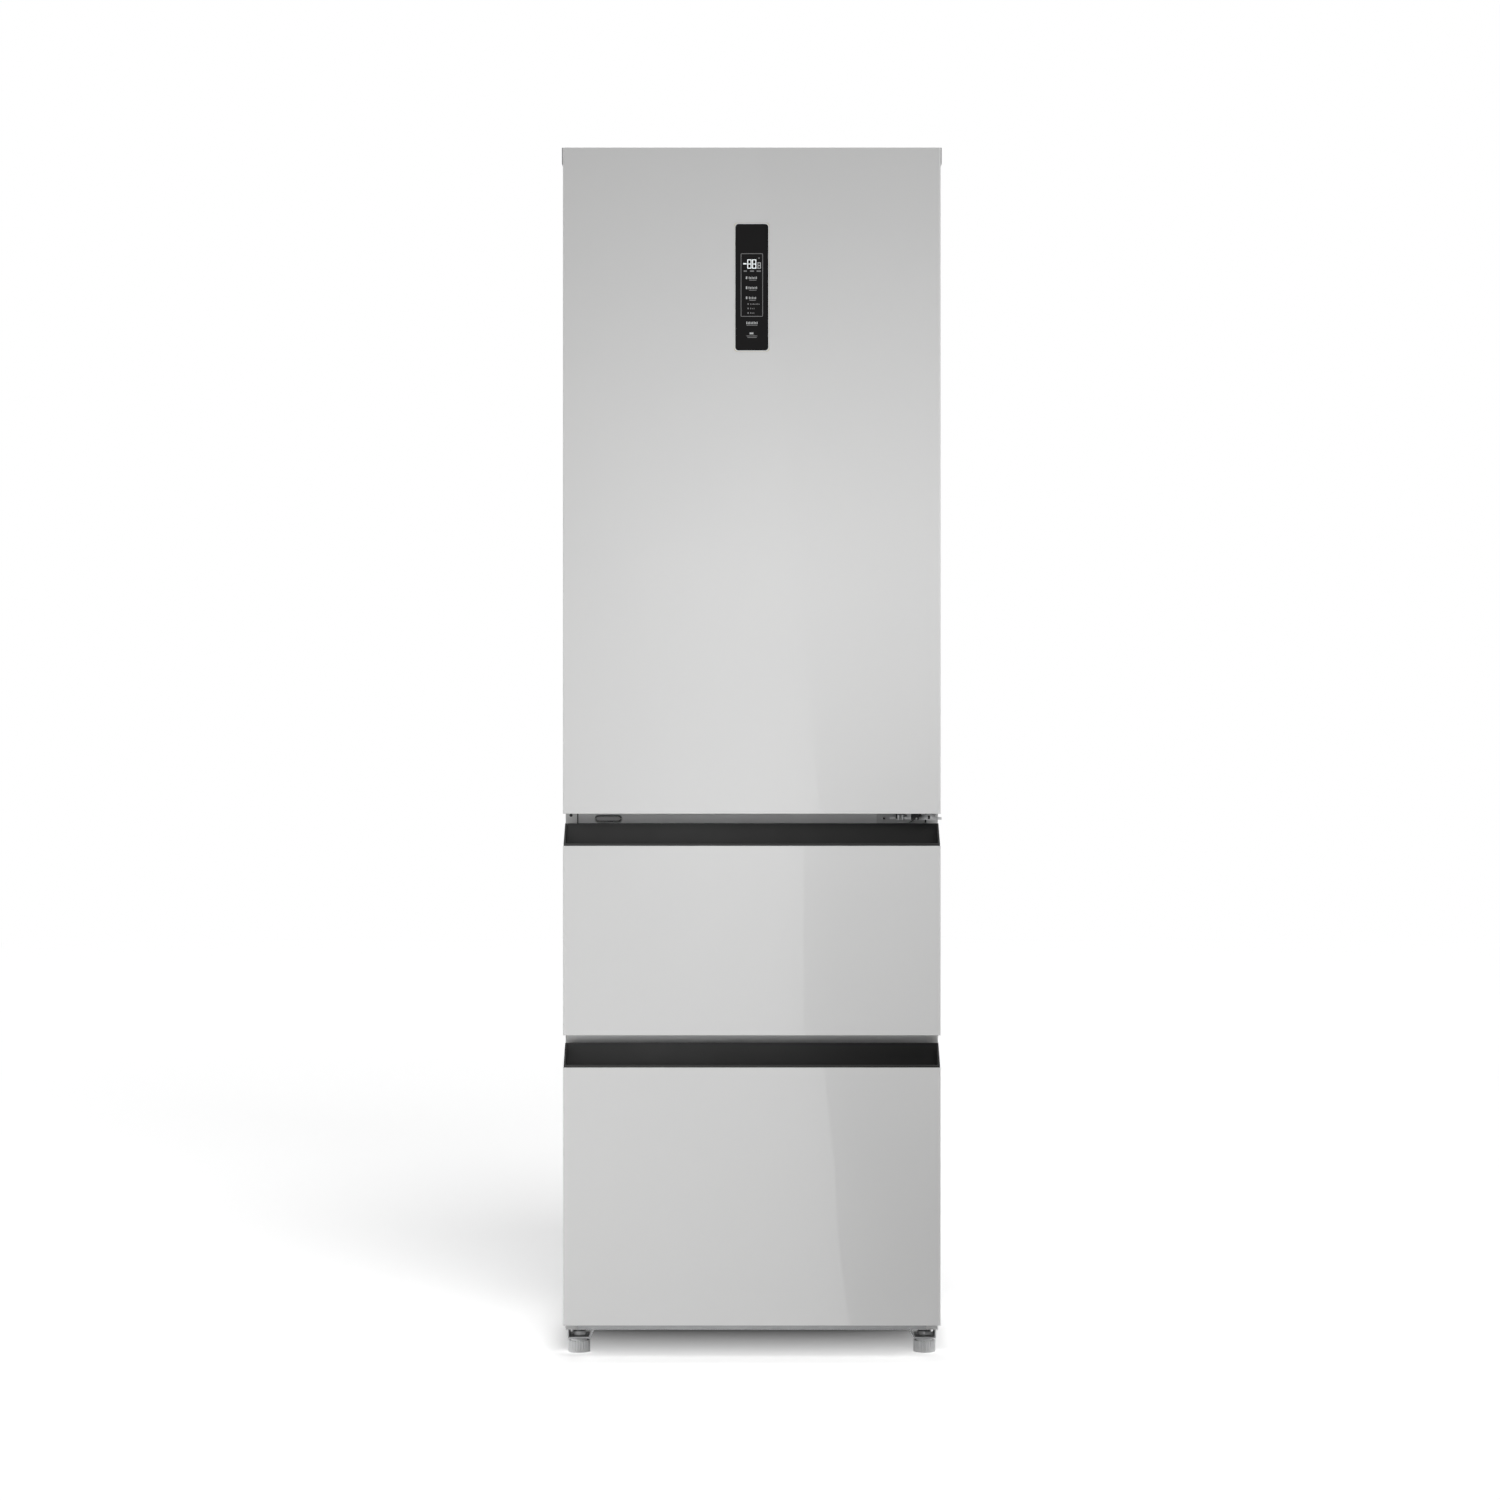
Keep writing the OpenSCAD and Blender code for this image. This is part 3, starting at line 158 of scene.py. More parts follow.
def add_world():
    world = bpy.data.worlds.new("studio")
    bpy.context.scene.world = world
    tree = empty_tree(world)
    path = add_node(tree, "ShaderNodeLightPath").outputs
    seen = calculate(tree, "MAXIMUM", path["Is Camera Ray"], path["Is Glossy Ray"])
    seen = calculate(tree, "MAXIMUM", seen, path["Is Transmission Ray"])
    lit, white = [add_node(tree, "ShaderNodeBackground", {"Color": (1, 1, 1, 1), "Strength": strength})
                  for strength in (AMBIENT, WHITE)]
    surface = mix_shaders(tree, seen, lit.outputs[0], white.outputs[0])
    add_node(tree, "ShaderNodeOutputWorld", {"Surface": surface})

add_world()
bpy.context.scene.view_settings.view_transform = "Standard"
print("world lights with", AMBIENT, "and looks", WHITE)

# %% [markdown]
# A floor under a catalogue picture is white paper that fades into the wall. A plain white plane would
# either light the object too much from below or lose the shadow. So this one has two faces: the rays
# that carry light find a grey one, and the rays that are seen find a white one that keeps the shadow.
# Under the cabinet the white face's glow carries a painted shadow, from light at the front edge to dark
# at the base pan, and far off the floor fades into the white of the room, so that its end draws no line.

# %% Sizes and tones of the floor
FLOOR_SIZE = 40.0
FADE_OUT = (4.0, 12.0)
FLOOR_BOUNCE = 0.38
FLOOR_SEEN = 2.40
FLOOR_LIFT = 0.25
# Under the cabinet the floor's glow paints a shadow: it falls from light at the front edge to dark at the
# base pan.
PAINTED_SHADE_SIDE = (0.26, 0.32)
PAINTED_SHADE_FRONT = (-0.335, -0.285)
PAINTED_SHADE_BACK = (0.25, 0.33)
PAINTED_SHADE_DEPTH = (-0.29, -0.03)
PAINTED_SHADE_LIFT = (0.62, 0.06)

# %% How much the floor is lifted, with the painted shadow under the cabinet
def add_lift_and_painted_shade(tree):
    """Even outside; under the cabinet a painted shadow, from light to dark going in."""
    axes = split_axes(tree, own_point(tree))
    under = ramp(tree, calculate(tree, "ABSOLUTE", axes["X"]), *PAINTED_SHADE_SIDE, 1.0, 0.0)
    for reach, low, high in ((PAINTED_SHADE_FRONT, 0.0, 1.0), (PAINTED_SHADE_BACK, 1.0, 0.0)):
        under = calculate(tree, "MULTIPLY", under, ramp(tree, axes["Y"], *reach, low, high))
    painted_shade_ramp = ramp(tree, axes["Y"], *PAINTED_SHADE_DEPTH, *PAINTED_SHADE_LIFT)
    return add_node(tree, "ShaderNodeMix", {0: under, 2: FLOOR_LIFT, 3: painted_shade_ramp}).outputs[0]

# %% Which rays see the white face
def seen_rays(tree):
    """1 for camera rays, and for mirrored or passed rays that haven't met a matt surface yet."""
    path = add_node(tree, "ShaderNodeLightPath").outputs
    fresh = calculate(tree, "LESS_THAN", path["Diffuse Depth"], 0.5)
    mask = path["Is Camera Ray"]
    for other in ("Is Glossy Ray", "Is Transmission Ray"):
        mask = calculate(tree, "MAXIMUM", mask, calculate(tree, "MULTIPLY", fresh, path[other]))
    return mask

# %% Finish of the floor
def floor_finish():
    mat = bpy.data.materials.new("studio_floor")
    tree = empty_tree(mat)
    grey, bright = [add_node(tree, "ShaderNodeBsdfDiffuse", {"Color": (tone, tone, tone, 1)}).outputs[0]
                    for tone in (FLOOR_BOUNCE, FLOOR_SEEN)]
    # The glow lifts the floor evenly, and under the cabinet it carries the painted shadow.
    lift = add_node(tree, "ShaderNodeEmission", {"Strength": add_lift_and_painted_shade(tree)}).outputs[0]
    lifted = add_node(tree, "ShaderNodeAddShader", {0: bright, 1: lift}).outputs[0]
    away = add_node(tree, "ShaderNodeVectorMath", {0: own_point(tree)}, operation="LENGTH")
    fade = ramp(tree, away.outputs["Value"], *FADE_OUT, 0.0, 1.0)
    faded = mix_shaders(tree, fade, lifted, add_node(tree, "ShaderNodeEmission").outputs[0])
    surface = mix_shaders(tree, seen_rays(tree), grey, faded)
    add_node(tree, "ShaderNodeOutputMaterial", {"Surface": surface})
    return mat

# %% Floor
def add_floor():
    bpy.ops.object.select_all(action="DESELECT")
    bpy.ops.mesh.primitive_plane_add(size=FLOOR_SIZE, location=(0, 0, 0))
    floor = bpy.context.active_object
    floor.name = "studio_floor"
    floor.data.materials.append(floor_finish())
    return floor

floor = add_floor()
print("floor", FLOOR_SIZE, "m wide")

# %% [markdown]
# The lamps and the two lights from the sides fill in the object only: by light linking the floor is
# left out of what they light, and so it keeps its shadow. The windows light the floor as well.

# %% Lamps before the fronts
SIDE_LAMP_Y = -1.15
SIDE_LAMP = (0.3, 0.3)
SIDE_LAMPS = {"left_low": (-0.85, 0.2, 2.25), "right_high": (0.85, 1.35, 1.3)}
MIDDLE_LAMP_Y = -1.3
MIDDLE_LAMP = (0.4, 0.12)
MIDDLE_LAMPS = {"high": (1.3, 2.4), "level": (0.85, 1.25), "low": (0.48, 0.3), "foot": (0.06, 0.5)}
FILLED = bpy.data.collections.new("all_but_the_floor")
FILLED.objects.link(floor)
FILLED.collection_objects[0].light_linking.link_state = "EXCLUDE"

def add_lamp(name, x, y, height, size, watts):
    """A soft rectangle that faces the middle of the fronts at its own height."""
    data = bpy.data.lights.new(name, "AREA")
    data.shape = "RECTANGLE"
    data.size, data.size_y = size
    data.energy = watts
    lamp = bpy.data.objects.new(name, data)
    bpy.context.scene.collection.objects.link(lamp)
    lamp.location = (x, y, height)
    lamp.rotation_euler = Vector((-x, FRONT_Y - y, 0)).to_track_quat("-Z", "Y").to_euler()
    lamp.visible_camera = lamp.visible_glossy = False
    lamp.light_linking.receiver_collection = FILLED

for name, (x, height, watts) in SIDE_LAMPS.items():
    add_lamp("lamp_" + name, x, SIDE_LAMP_Y, height, SIDE_LAMP, watts)
for name, (height, watts) in MIDDLE_LAMPS.items():
    add_lamp("lamp_middle_" + name, 0, MIDDLE_LAMP_Y, height, MIDDLE_LAMP, watts)
print(len(SIDE_LAMPS) + len(MIDDLE_LAMPS), "lamps")

# %% Distant lights: turn from the front, height above the floor, strength, spread
WINDOWS = {"window_low": (15, 20, 0.34, 24), "window_high": (15, 52, 0.42, 28),
           "overhead": (-30, 80, 0.21, 24), "side": (100, 20, 0.10, 24)}
EDGE_LIGHTS = {"edge_left": (-86, 8, 0.9, 20), "edge_right": (86, 8, 0.9, 20)}

def add_sun(name, turn, height, strength, spread):
    """Light that comes from turn degrees right of the front, height degrees up."""
    turn, height = math.radians(turn), math.radians(height)
    towards = Vector((-math.sin(turn) * math.cos(height), math.cos(turn) * math.cos(height),
                      -math.sin(height)))
    data = bpy.data.lights.new(name, "SUN")
    data.energy = strength
    data.angle = math.radians(spread)
    sun = bpy.data.objects.new(name, data)
    bpy.context.scene.collection.objects.link(sun)
    sun.rotation_euler = towards.to_track_quat("-Z", "Y").to_euler()
    sun.visible_glossy = False
    return sun

for name, settings in WINDOWS.items():
    add_sun(name, *settings)
for name, settings in EDGE_LIGHTS.items():
    add_sun(name, *settings).light_linking.receiver_collection = FILLED
print(len(WINDOWS) + len(EDGE_LIGHTS), "distant lights")

# %% [markdown]
# The white lacquer mirrors the room faintly: left of a slanting line it shows a bright wall, right of it
# a dark one. The dark one is a flat card close before the fronts that only glossy rays can see, so it
# throws no shadow and hides nothing. Each point of its edge lies where the mirror image in the front
# puts it, and each front has its own line.

# %% Edge of the mirror image, in the photo's pixels from top to bottom
CARD_DISTANCE = 0.3
CARD_FAR_X = 1.5
MIRROR_EDGE = [(757, 140), (758, 160), (762, 200), (776, 360), (786, 440), (793, 520), (800, 600),
               (808, 680), (815, 760), (821, 818), (804, 842), (804, 1050), (823.5, 1064), (830, 1122),
               (834, 1160), (839, 1247), (845, 1290), (851, 1330)]

def card_edge():
    """The points on the card that the camera sees mirrored at the pixels of MIRROR_EDGE."""
    share = CARD_DISTANCE / EYE_DISTANCE
    edge = []
    for px, py in MIRROR_EDGE:
        x, z = at_pixel(px, py)
        edge.append((x + (x - camera.location.x) * share, FRONT_Y - CARD_DISTANCE,
                     z + (z - EYE_Z) * share))
    return edge

# %% Dark card for the mirror image
CARD_HEIGHTS = (0.8, 1.2)
CARD_GLOW = (0.0, 0.8)

def add_card():
    edge = card_edge()
    far = [(CARD_FAR_X, y, z) for _, y, z in edge]
    count = len(edge)
    mesh = bpy.data.meshes.new("dark_card")
    mesh.from_pydata(edge + far, [], [(i, i + 1, count + i + 1, count + i) for i in range(count - 1)])
    card = bpy.data.objects.new("dark_card", mesh)
    bpy.context.scene.collection.objects.link(card)
    mat = bpy.data.materials.new("dark_card")
    tree = empty_tree(mat)
    height = split_axes(tree, own_point(tree))["Z"]
    rising = ramp(tree, height, *CARD_HEIGHTS, *CARD_GLOW)
    glow = add_node(tree, "ShaderNodeEmission", {"Strength": rising})
    add_node(tree, "ShaderNodeOutputMaterial", {"Surface": glow.outputs[0]})
    mesh.materials.append(mat)
    card.visible_camera = card.visible_diffuse = card.visible_shadow = False
    card.visible_transmission = False

add_card()
print("card with", len(MIRROR_EDGE), "points on its edge")

# %% [markdown]
# ## Shared surface effects
#
# Moulded plastic, rolled sheet and paint differ in the pattern of their fine relief. Each effect is a
# node group, built once, that puts out a height or a mask and leaves the shader to each finish.

# %% Helpers for node groups
def new_group(name, inputs, outputs):
    """An empty group with float inputs {name: default} and float outputs [name]."""
    group = bpy.data.node_groups.new(name, "ShaderNodeTree")
    for label, value in inputs.items():
        socket = group.interface.new_socket(label, in_out="INPUT", socket_type="NodeSocketFloat")
        socket.default_value = value
    for label in outputs:
        group.interface.new_socket(label, in_out="OUTPUT", socket_type="NodeSocketFloat")
    return group, group.nodes.new("NodeGroupInput"), group.nodes.new("NodeGroupOutput")

def add_noise(tree, point, scale, detail=2.0):
    """Output of a noise texture; scale is a number or a socket."""
    inputs = {"Vector": point, "Scale": scale, "Detail": detail}
    return add_node(tree, "ShaderNodeTexNoise", inputs).outputs["Fac"]

# %% Grain: small relief at one scale, with slow patches of tone
GRAIN_DETAIL = 3.0

def make_grain():
    group, given, out = new_group("grain", {"Scale": 600.0, "Patch scale": 9.0}, ["Height", "Tone"])
    point = own_point(group)
    fine = add_noise(group, point, given.outputs["Scale"], GRAIN_DETAIL)
    patch = add_noise(group, point, given.outputs["Patch scale"])
    group.links.new(fine, out.inputs["Height"])
    group.links.new(patch, out.inputs["Tone"])
    return group

GRAIN = make_grain()

# %% Streaks: lines drawn along the sheet by rolls or a brush
STREAK_DETAIL = 4.0
CLOUD_SCALE = 14.0

def make_streaks():
    group, given, out = new_group(
        "streaks", {"Across X": 900.0, "Across Y": 900.0, "Across Z": 12.0}, ["Height", "Tone"])
    point = own_point(group)
    squeeze = add_node(group, "ShaderNodeCombineXYZ",
                       {axis: given.outputs["Across " + axis] for axis in "XYZ"}).outputs[0]
    stretch = add_node(group, "ShaderNodeVectorMath", {0: point, 1: squeeze}, operation="MULTIPLY")
    group.links.new(add_noise(group, stretch.outputs[0], 1.0, STREAK_DETAIL), out.inputs["Height"])
    group.links.new(add_noise(group, point, CLOUD_SCALE), out.inputs["Tone"])
    return group

STREAKS = make_streaks()

# %% Worn edges: where the rounded normal parts from the flat one
PARTED = (0.995, 0.80)

def make_worn_edges():
    group, given, out = new_group("worn_edges", {"Width": 0.0008, "Broken by": 90.0}, ["Mask"])
    rounded = add_node(group, "ShaderNodeBevel", {"Radius": given.outputs["Width"]}, samples=4).outputs[0]
    flat = add_node(group, "ShaderNodeNewGeometry").outputs["Normal"]
    parting = add_node(group, "ShaderNodeVectorMath", {0: rounded, 1: flat}, operation="DOT_PRODUCT")
    edge = ramp(group, parting.outputs["Value"], *PARTED, 0.0, 1.0)
    broken = add_noise(group, own_point(group), given.outputs["Broken by"])
    group.links.new(calculate(group, "MULTIPLY", edge, broken), out.inputs["Mask"])
    return group

WORN_EDGES = make_worn_edges()

# %% Dust: settles on what faces up, in patches
FACING_UP = (0.2, 1.0)
DUST_SCALE = 26.0
DUST_DETAIL = 6.0

def make_dust():
    group, given, out = new_group("dust", {"Amount": 0.3}, ["Mask"])
    facing = add_node(group, "ShaderNodeNewGeometry").outputs["Normal"]
    up = ramp(group, split_axes(group, facing)["Z"], *FACING_UP, 0.0, 1.0)
    noise = add_noise(group, own_point(group), DUST_SCALE, DUST_DETAIL)
    patches = calculate(group, "MULTIPLY", up, noise)
    group.links.new(calculate(group, "MULTIPLY", patches, given.outputs["Amount"]), out.inputs["Mask"])
    return group

DUST = make_dust()
print("shared effects:", [group.name for group in (GRAIN, STREAKS, WORN_EDGES, DUST)])

# %% [markdown]
# ## Finishes
#
# Every finish is built the same way: one effect gives slow patches of tone and a fine relief, the
# patches mix two close colours and two roughnesses, and wear and dust lie over them where the part
# gets handled or stands out of sight.

# %% Helper: mixed colours
DUST_COLOUR = (0.42, 0.40, 0.37)
TONE_SPREAD = (0.3, 0.7)
FINISH = {}

def blend_colours(tree, mask, below, above):
    """Colour socket of below and above (a colour or a socket), mixed by the mask socket."""
    below, above = [(*colour, 1) if isinstance(colour, tuple) else colour for colour in (below, above)]
    return add_node(tree, "ShaderNodeMix", {0: mask, 6: below, 7: above}, data_type="RGBA").outputs[2]

# %% Helper for one finish
def make_finish(name, colours, rough, relief, grain=None, streaks=None, worn=None, dust=0.0, **plain):
    """A Principled finish with grain (scale, patch scale) or streaks (scales across X, Y and Z).

    plain holds the sockets that are the same all over, by their names.
    """
    mat = bpy.data.materials.new(name)
    mat.use_nodes = True
    tree = mat.node_tree
    shader = tree.nodes["Principled BSDF"]
    for label, value in plain.items():
        shader.inputs[label.replace("_", " ")].default_value = value
    if streaks:
        values = dict(zip(("Across X", "Across Y", "Across Z"), streaks))
        pattern = add_node(tree, "ShaderNodeGroup", values, node_tree=STREAKS).outputs
    else:
        values = dict(zip(("Scale", "Patch scale"), grain))
        pattern = add_node(tree, "ShaderNodeGroup", values, node_tree=GRAIN).outputs
    colour = blend_colours(tree, pattern["Tone"], *colours)
    if worn:
        edges = add_node(tree, "ShaderNodeGroup", node_tree=WORN_EDGES).outputs["Mask"]
        colour = blend_colours(tree, edges, colour, worn)
    if dust:
        settled = add_node(tree, "ShaderNodeGroup", {"Amount": dust}, node_tree=DUST).outputs["Mask"]
        colour = blend_colours(tree, settled, colour, DUST_COLOUR)
    tree.links.new(colour, shader.inputs["Base Color"])
    tree.links.new(ramp(tree, pattern["Tone"], *TONE_SPREAD, *rough), shader.inputs["Roughness"])
    bump = add_node(tree, "ShaderNodeBump", {"Distance": relief, "Height": pattern["Height"]})
    tree.links.new(bump.outputs[0], shader.inputs["Normal"])
    FINISH[name] = mat

# %% [markdown]
# ### Painted steel
#
# The fronts are steel sheet with a baked white powder coat: an almost mirror-smooth clear surface over
# a white that isn't quite even. The relief is the faint orange peel of the powder. The cabinet is the
# same paint, the crossbeams are a satin grey one.

# %% White and grey paint
make_finish("white_steel", ((0.775, 0.777, 0.775), (0.800, 0.800, 0.794)), (0.30, 0.38), 0.00002,
            grain=(380.0, 5.0), Coat_Weight=0.85, Coat_Roughness=0.03)
make_finish("beam_steel", ((0.72, 0.725, 0.73), (0.78, 0.785, 0.79)), (0.38, 0.48), 0.00002,
            grain=(420.0, 14.0), dust=0.15, Coat_Weight=0.2)
make_finish("compressor_black", ((0.018, 0.018, 0.02), (0.030, 0.030, 0.032)), (0.22, 0.36), 0.00004,
            grain=(260.0, 18.0), worn=(0.16, 0.15, 0.14), dust=0.5,
            Coat_Weight=0.5, Coat_Roughness=0.12)

# %% [markdown]
# ### Bare metal
#
# Zinc-coated sheet, drawn steel slides and the cast aluminium of the compressor's fins are all grey
# metal; what tells them apart is the direction and the width of their lines.

# %% Zinc, slide steel, hinge steel, aluminium
make_finish("zinc_sheet", ((0.30, 0.305, 0.31), (0.42, 0.425, 0.43)), (0.38, 0.54), 0.00002,
            grain=(150.0, 70.0), dust=0.25, Metallic=0.9)
make_finish("slide_steel", ((0.54, 0.55, 0.56), (0.66, 0.67, 0.68)), (0.24, 0.36), 0.00001,
            streaks=(1400.0, 10.0, 1400.0), worn=(0.85, 0.85, 0.86), Metallic=1.0)
make_finish("hinge_steel", ((0.52, 0.525, 0.53), (0.62, 0.625, 0.63)), (0.40, 0.52), 0.00002,
            streaks=(25.0, 900.0, 1100.0), worn=(0.75, 0.75, 0.75), Metallic=0.35)
make_finish("aluminium", ((0.66, 0.67, 0.68), (0.80, 0.81, 0.82)), (0.30, 0.44), 0.00001,
            streaks=(30.0, 700.0, 700.0), Metallic=1.0)

# %% [markdown]
# ### Plastics and rubbers
#
# The liners are vacuum-formed sheet with a soft gloss. Caps, grips and trims are injection-moulded with
# a fine spark-eroded grain. The gaskets are soft and matt, and pick up a little dust.

# %% Moulded and formed plastics
make_finish("white_liner", ((0.80, 0.80, 0.785), (0.845, 0.845, 0.83)), (0.30, 0.40), 0.00003,
            grain=(240.0, 7.0), Coat_Weight=0.25, Coat_Roughness=0.2)
make_finish("grey_plastic", ((0.47, 0.475, 0.48), (0.53, 0.535, 0.54)), (0.40, 0.52), 0.00003,
            grain=(1500.0, 12.0))
make_finish("dark_plastic", ((0.045, 0.045, 0.047), (0.065, 0.065, 0.068)), (0.42, 0.56), 0.00004,
            grain=(1300.0, 15.0), dust=0.12)
make_finish("grip_black", ((0.0225, 0.0225, 0.0225), (0.0265, 0.0265, 0.0265)), (0.46, 0.56), 0.00004,
            grain=(1700.0, 10.0))
make_finish("foot_grey", ((0.86, 0.865, 0.87), (0.91, 0.915, 0.92)), (0.40, 0.52), 0.00003,
            grain=(1400.0, 30.0), dust=0.1)
make_finish("fan_grey", ((0.60, 0.605, 0.61), (0.68, 0.685, 0.69)), (0.36, 0.46), 0.00003,
            grain=(1200.0, 20.0), dust=0.15)

# %% Rubbers and foam
make_finish("gasket_grey", ((0.52, 0.52, 0.515), (0.60, 0.60, 0.595)), (0.58, 0.72), 0.00005,
            grain=(900.0, 25.0), dust=0.1)
make_finish("rubber", ((0.018, 0.018, 0.018), (0.030, 0.030, 0.030)), (0.62, 0.80), 0.00008,
            grain=(800.0, 40.0), dust=0.5)
make_finish("roller_black", ((0.022, 0.022, 0.022), (0.036, 0.036, 0.036)), (0.50, 0.70), 0.00006,
            grain=(900.0, 50.0), dust=0.4)
make_finish("foam", ((0.66, 0.57, 0.34), (0.78, 0.70, 0.48)), (0.85, 0.95), 0.0006,
            grain=(420.0, 30.0))

# %% [markdown]
# ### Glass, clear plastic and the lamp
#
# Clear parts keep a plain transmission, and only their roughness and relief change over the surface:
# float glass is even, moulded plastic has faint flow lines.

# %% Clear finishes
make_finish("shelf_glass", ((0.86, 0.94, 0.91), (0.89, 0.96, 0.94)), (0.0, 0.03), 0.000005,
            grain=(30.0, 6.0), Transmission_Weight=1.0, IOR=1.5)
make_finish("clear_plastic", ((0.88, 0.93, 0.95), (0.93, 0.96, 0.97)), (0.04, 0.12), 0.00004,
            grain=(60.0, 14.0), Transmission_Weight=0.92, IOR=1.46)
make_finish("display_glass", ((0.0075, 0.0070, 0.0072), (0.0095, 0.0090, 0.0092)), (0.04, 0.08), 0.000003,
            grain=(60.0, 9.0), IOR=1.2)
make_finish("lamp_white", ((0.90, 0.90, 0.87), (0.94, 0.94, 0.91)), (0.40, 0.50), 0.0002,
            streaks=(420.0, 8.0, 420.0), Emission_Strength=0.35, Emission_Color=(1.0, 0.97, 0.9, 1))
print(len(FINISH), "finishes")

# %% [markdown]
# ## Dressing the working model
#
# The record says which material slot each node belongs to. First every node gets that finish; then the
# ones that show are replaced by a copy with softened edges, because only a rounded edge catches light.

# %% Finish of each node
SLOT_OF = {part["node"]: part["material_slot"] for part in frame["record"]["subparts"]}
BODY_OF = {node: body for body, nodes in frame["record"]["behaviour"]["bodies"].items()
           for node in nodes}
for name, node in NODES.items():
    for holder in node.material_slots:
        holder.material = FINISH[SLOT_OF[name]]
print(len(set(SLOT_OF.values())), "slots used by", len(SLOT_OF), "nodes")

# %% Helpers: select, smooth, modify
def edit_mode():
    bpy.ops.object.mode_set(mode="EDIT")

def object_mode():
    bpy.ops.object.mode_set(mode="OBJECT")

def deselect():
    if bpy.context.mode != "OBJECT":
        object_mode()
    bpy.ops.object.select_all(action="DESELECT")

def take(piece):
    """Makes piece the only selected and the active object."""
    deselect()
    piece.select_set(True)
    bpy.context.view_layer.objects.active = piece

def smooth(piece, degrees=35):
    take(piece)
    bpy.ops.object.shade_smooth_by_angle(angle=math.radians(degrees))

def apply_modifier(piece, kind, **settings):
    take(piece)
    modifier = piece.modifiers.new(kind.lower(), kind)
    for key, value in settings.items():
        setattr(modifier, key, value)
    bpy.ops.object.modifier_apply(modifier=modifier.name)

def settle(piece):
    """Puts the piece's place, turn and scale into its mesh."""
    take(piece)
    bpy.ops.object.transform_apply(location=True, rotation=True, scale=True)

def face_outwards():
    """In edit mode: turns all faces outwards, then goes back to object mode."""
    bpy.ops.mesh.select_all(action="SELECT")
    bpy.ops.mesh.normals_make_consistent(inside=False)
    object_mode()

# %% Helpers: hand over, measure, copy
def hand_over(piece, name, slot, body, *nodes):
    """Names the piece, gives it its finish and its body, and hides the nodes it stands for."""
    piece.name = name
    piece.data.materials.clear()
    piece.data.materials.append(FINISH[slot])
    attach(piece, body)
    if nodes:
        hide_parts(*nodes)

def span(piece):
    """Low and high corner of a settled piece."""
    corners = [v.co for v in piece.data.vertices]
    return ([min(c[i] for c in corners) for i in range(3)],
            [max(c[i] for c in corners) for i in range(3)])

def own_copy(piece, name):
    twin = bpy.data.objects.new(name, piece.data.copy())
    bpy.context.scene.collection.objects.link(twin)
    return twin

# %% Helpers: move or scale a part of a mesh
def select_where(piece, test):
    """Goes into edit mode with only the vertices selected that pass the test."""
    take(piece)
    for v in piece.data.vertices:
        v.select = test(v.co)
    edit_mode()
    bpy.ops.mesh.select_mode(type="VERT")

def move_where(piece, test, shift):
    select_where(piece, test)
    bpy.ops.transform.translate(value=shift)
    object_mode()

def scale_where(piece, test, factors, centre):
    select_where(piece, test)
    bpy.ops.transform.resize(value=factors, center_override=centre)
    object_mode()

# %% Copy of a node with softened edges
MERGE = 0.00001
CLOSE = 0.0001
FLAT = math.radians(1.0)

def soften(node, width, segments=2, degrees=30, name=None):
    """A merged copy of a node whose sharp edges are rounded; it replaces the node."""
    piece = own_copy(NODES[node], node + "_copy")
    take(piece)
    edit_mode()
    bpy.ops.mesh.select_all(action="SELECT")
    bpy.ops.mesh.remove_doubles(threshold=MERGE)
    bpy.ops.mesh.dissolve_limited(angle_limit=FLAT)
    face_outwards()
    apply_modifier(piece, "BEVEL", width=width, segments=segments, limit_method="ANGLE",
                   angle_limit=math.radians(degrees), miter_outer="MITER_SHARP",
                   use_clamp_overlap=True, harden_normals=False)
    smooth(piece, degrees=60)
    apply_modifier(piece, "WEIGHTED_NORMAL", mode="FACE_AREA", weight=100, keep_sharp=True)
    hand_over(piece, name or node + "_softened", SLOT_OF[node], BODY_OF[node], node)
    low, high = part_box(node)
    now = span(piece)
    off = max(abs(now[i][k] - (low, high)[i][k]) for i in range(2) for k in range(3))
    print(f"{piece.name}: {len(piece.data.polygons)} faces, {off / MM:.2f} mm off its node's box")
    return piece

# %% [markdown]
# ## The display
#
# A strip of black glass is let into the door. Behind it, lit marks show the temperature and the modes.
# The marks are printed bars, each a thin plate with rounded edges that lies on the glass. They stand
# for plain levels and numbers only, with no words.

# %% Inks of the display
DIMMED = 0.86

def make_ink(name, colour, glow):
    make_finish(name, (colour, tuple(DIMMED * c for c in colour)), (0.5, 0.6), 0.000005,
                grain=(2500.0, 300.0), Emission_Strength=glow, Emission_Color=(*colour, 1))

make_ink("ink_bright", (0.80, 0.83, 0.84), 0.55)
make_ink("ink_middle", (0.50, 0.51, 0.51), 0.22)
make_ink("ink_dim", (0.24, 0.24, 0.24), 0.05)
make_ink("ink_frame", (0.20, 0.20, 0.20), 0.03)
# The rim round the display is no lamp: its faint glow is painted light.
make_ink("light_rim_painted_glow", (0.86, 0.87, 0.87), 0.06)
print(len(FINISH), "finishes with the inks")

# %% The glass, its face a hair behind the door's face
INK = 0.0002
GLASS_EDGE = 0.0004
GLASS_LOW, GLASS_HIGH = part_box("display_glass")
glass = soften("display_glass", GLASS_EDGE, name="display_pane")
move_where(glass, lambda c: c.y < GLASS_LOW.y + GLASS_EDGE + INK, (0, INK, 0))

# %% Helper: bars printed on the glass
BAR_EDGE = 0.45 * INK

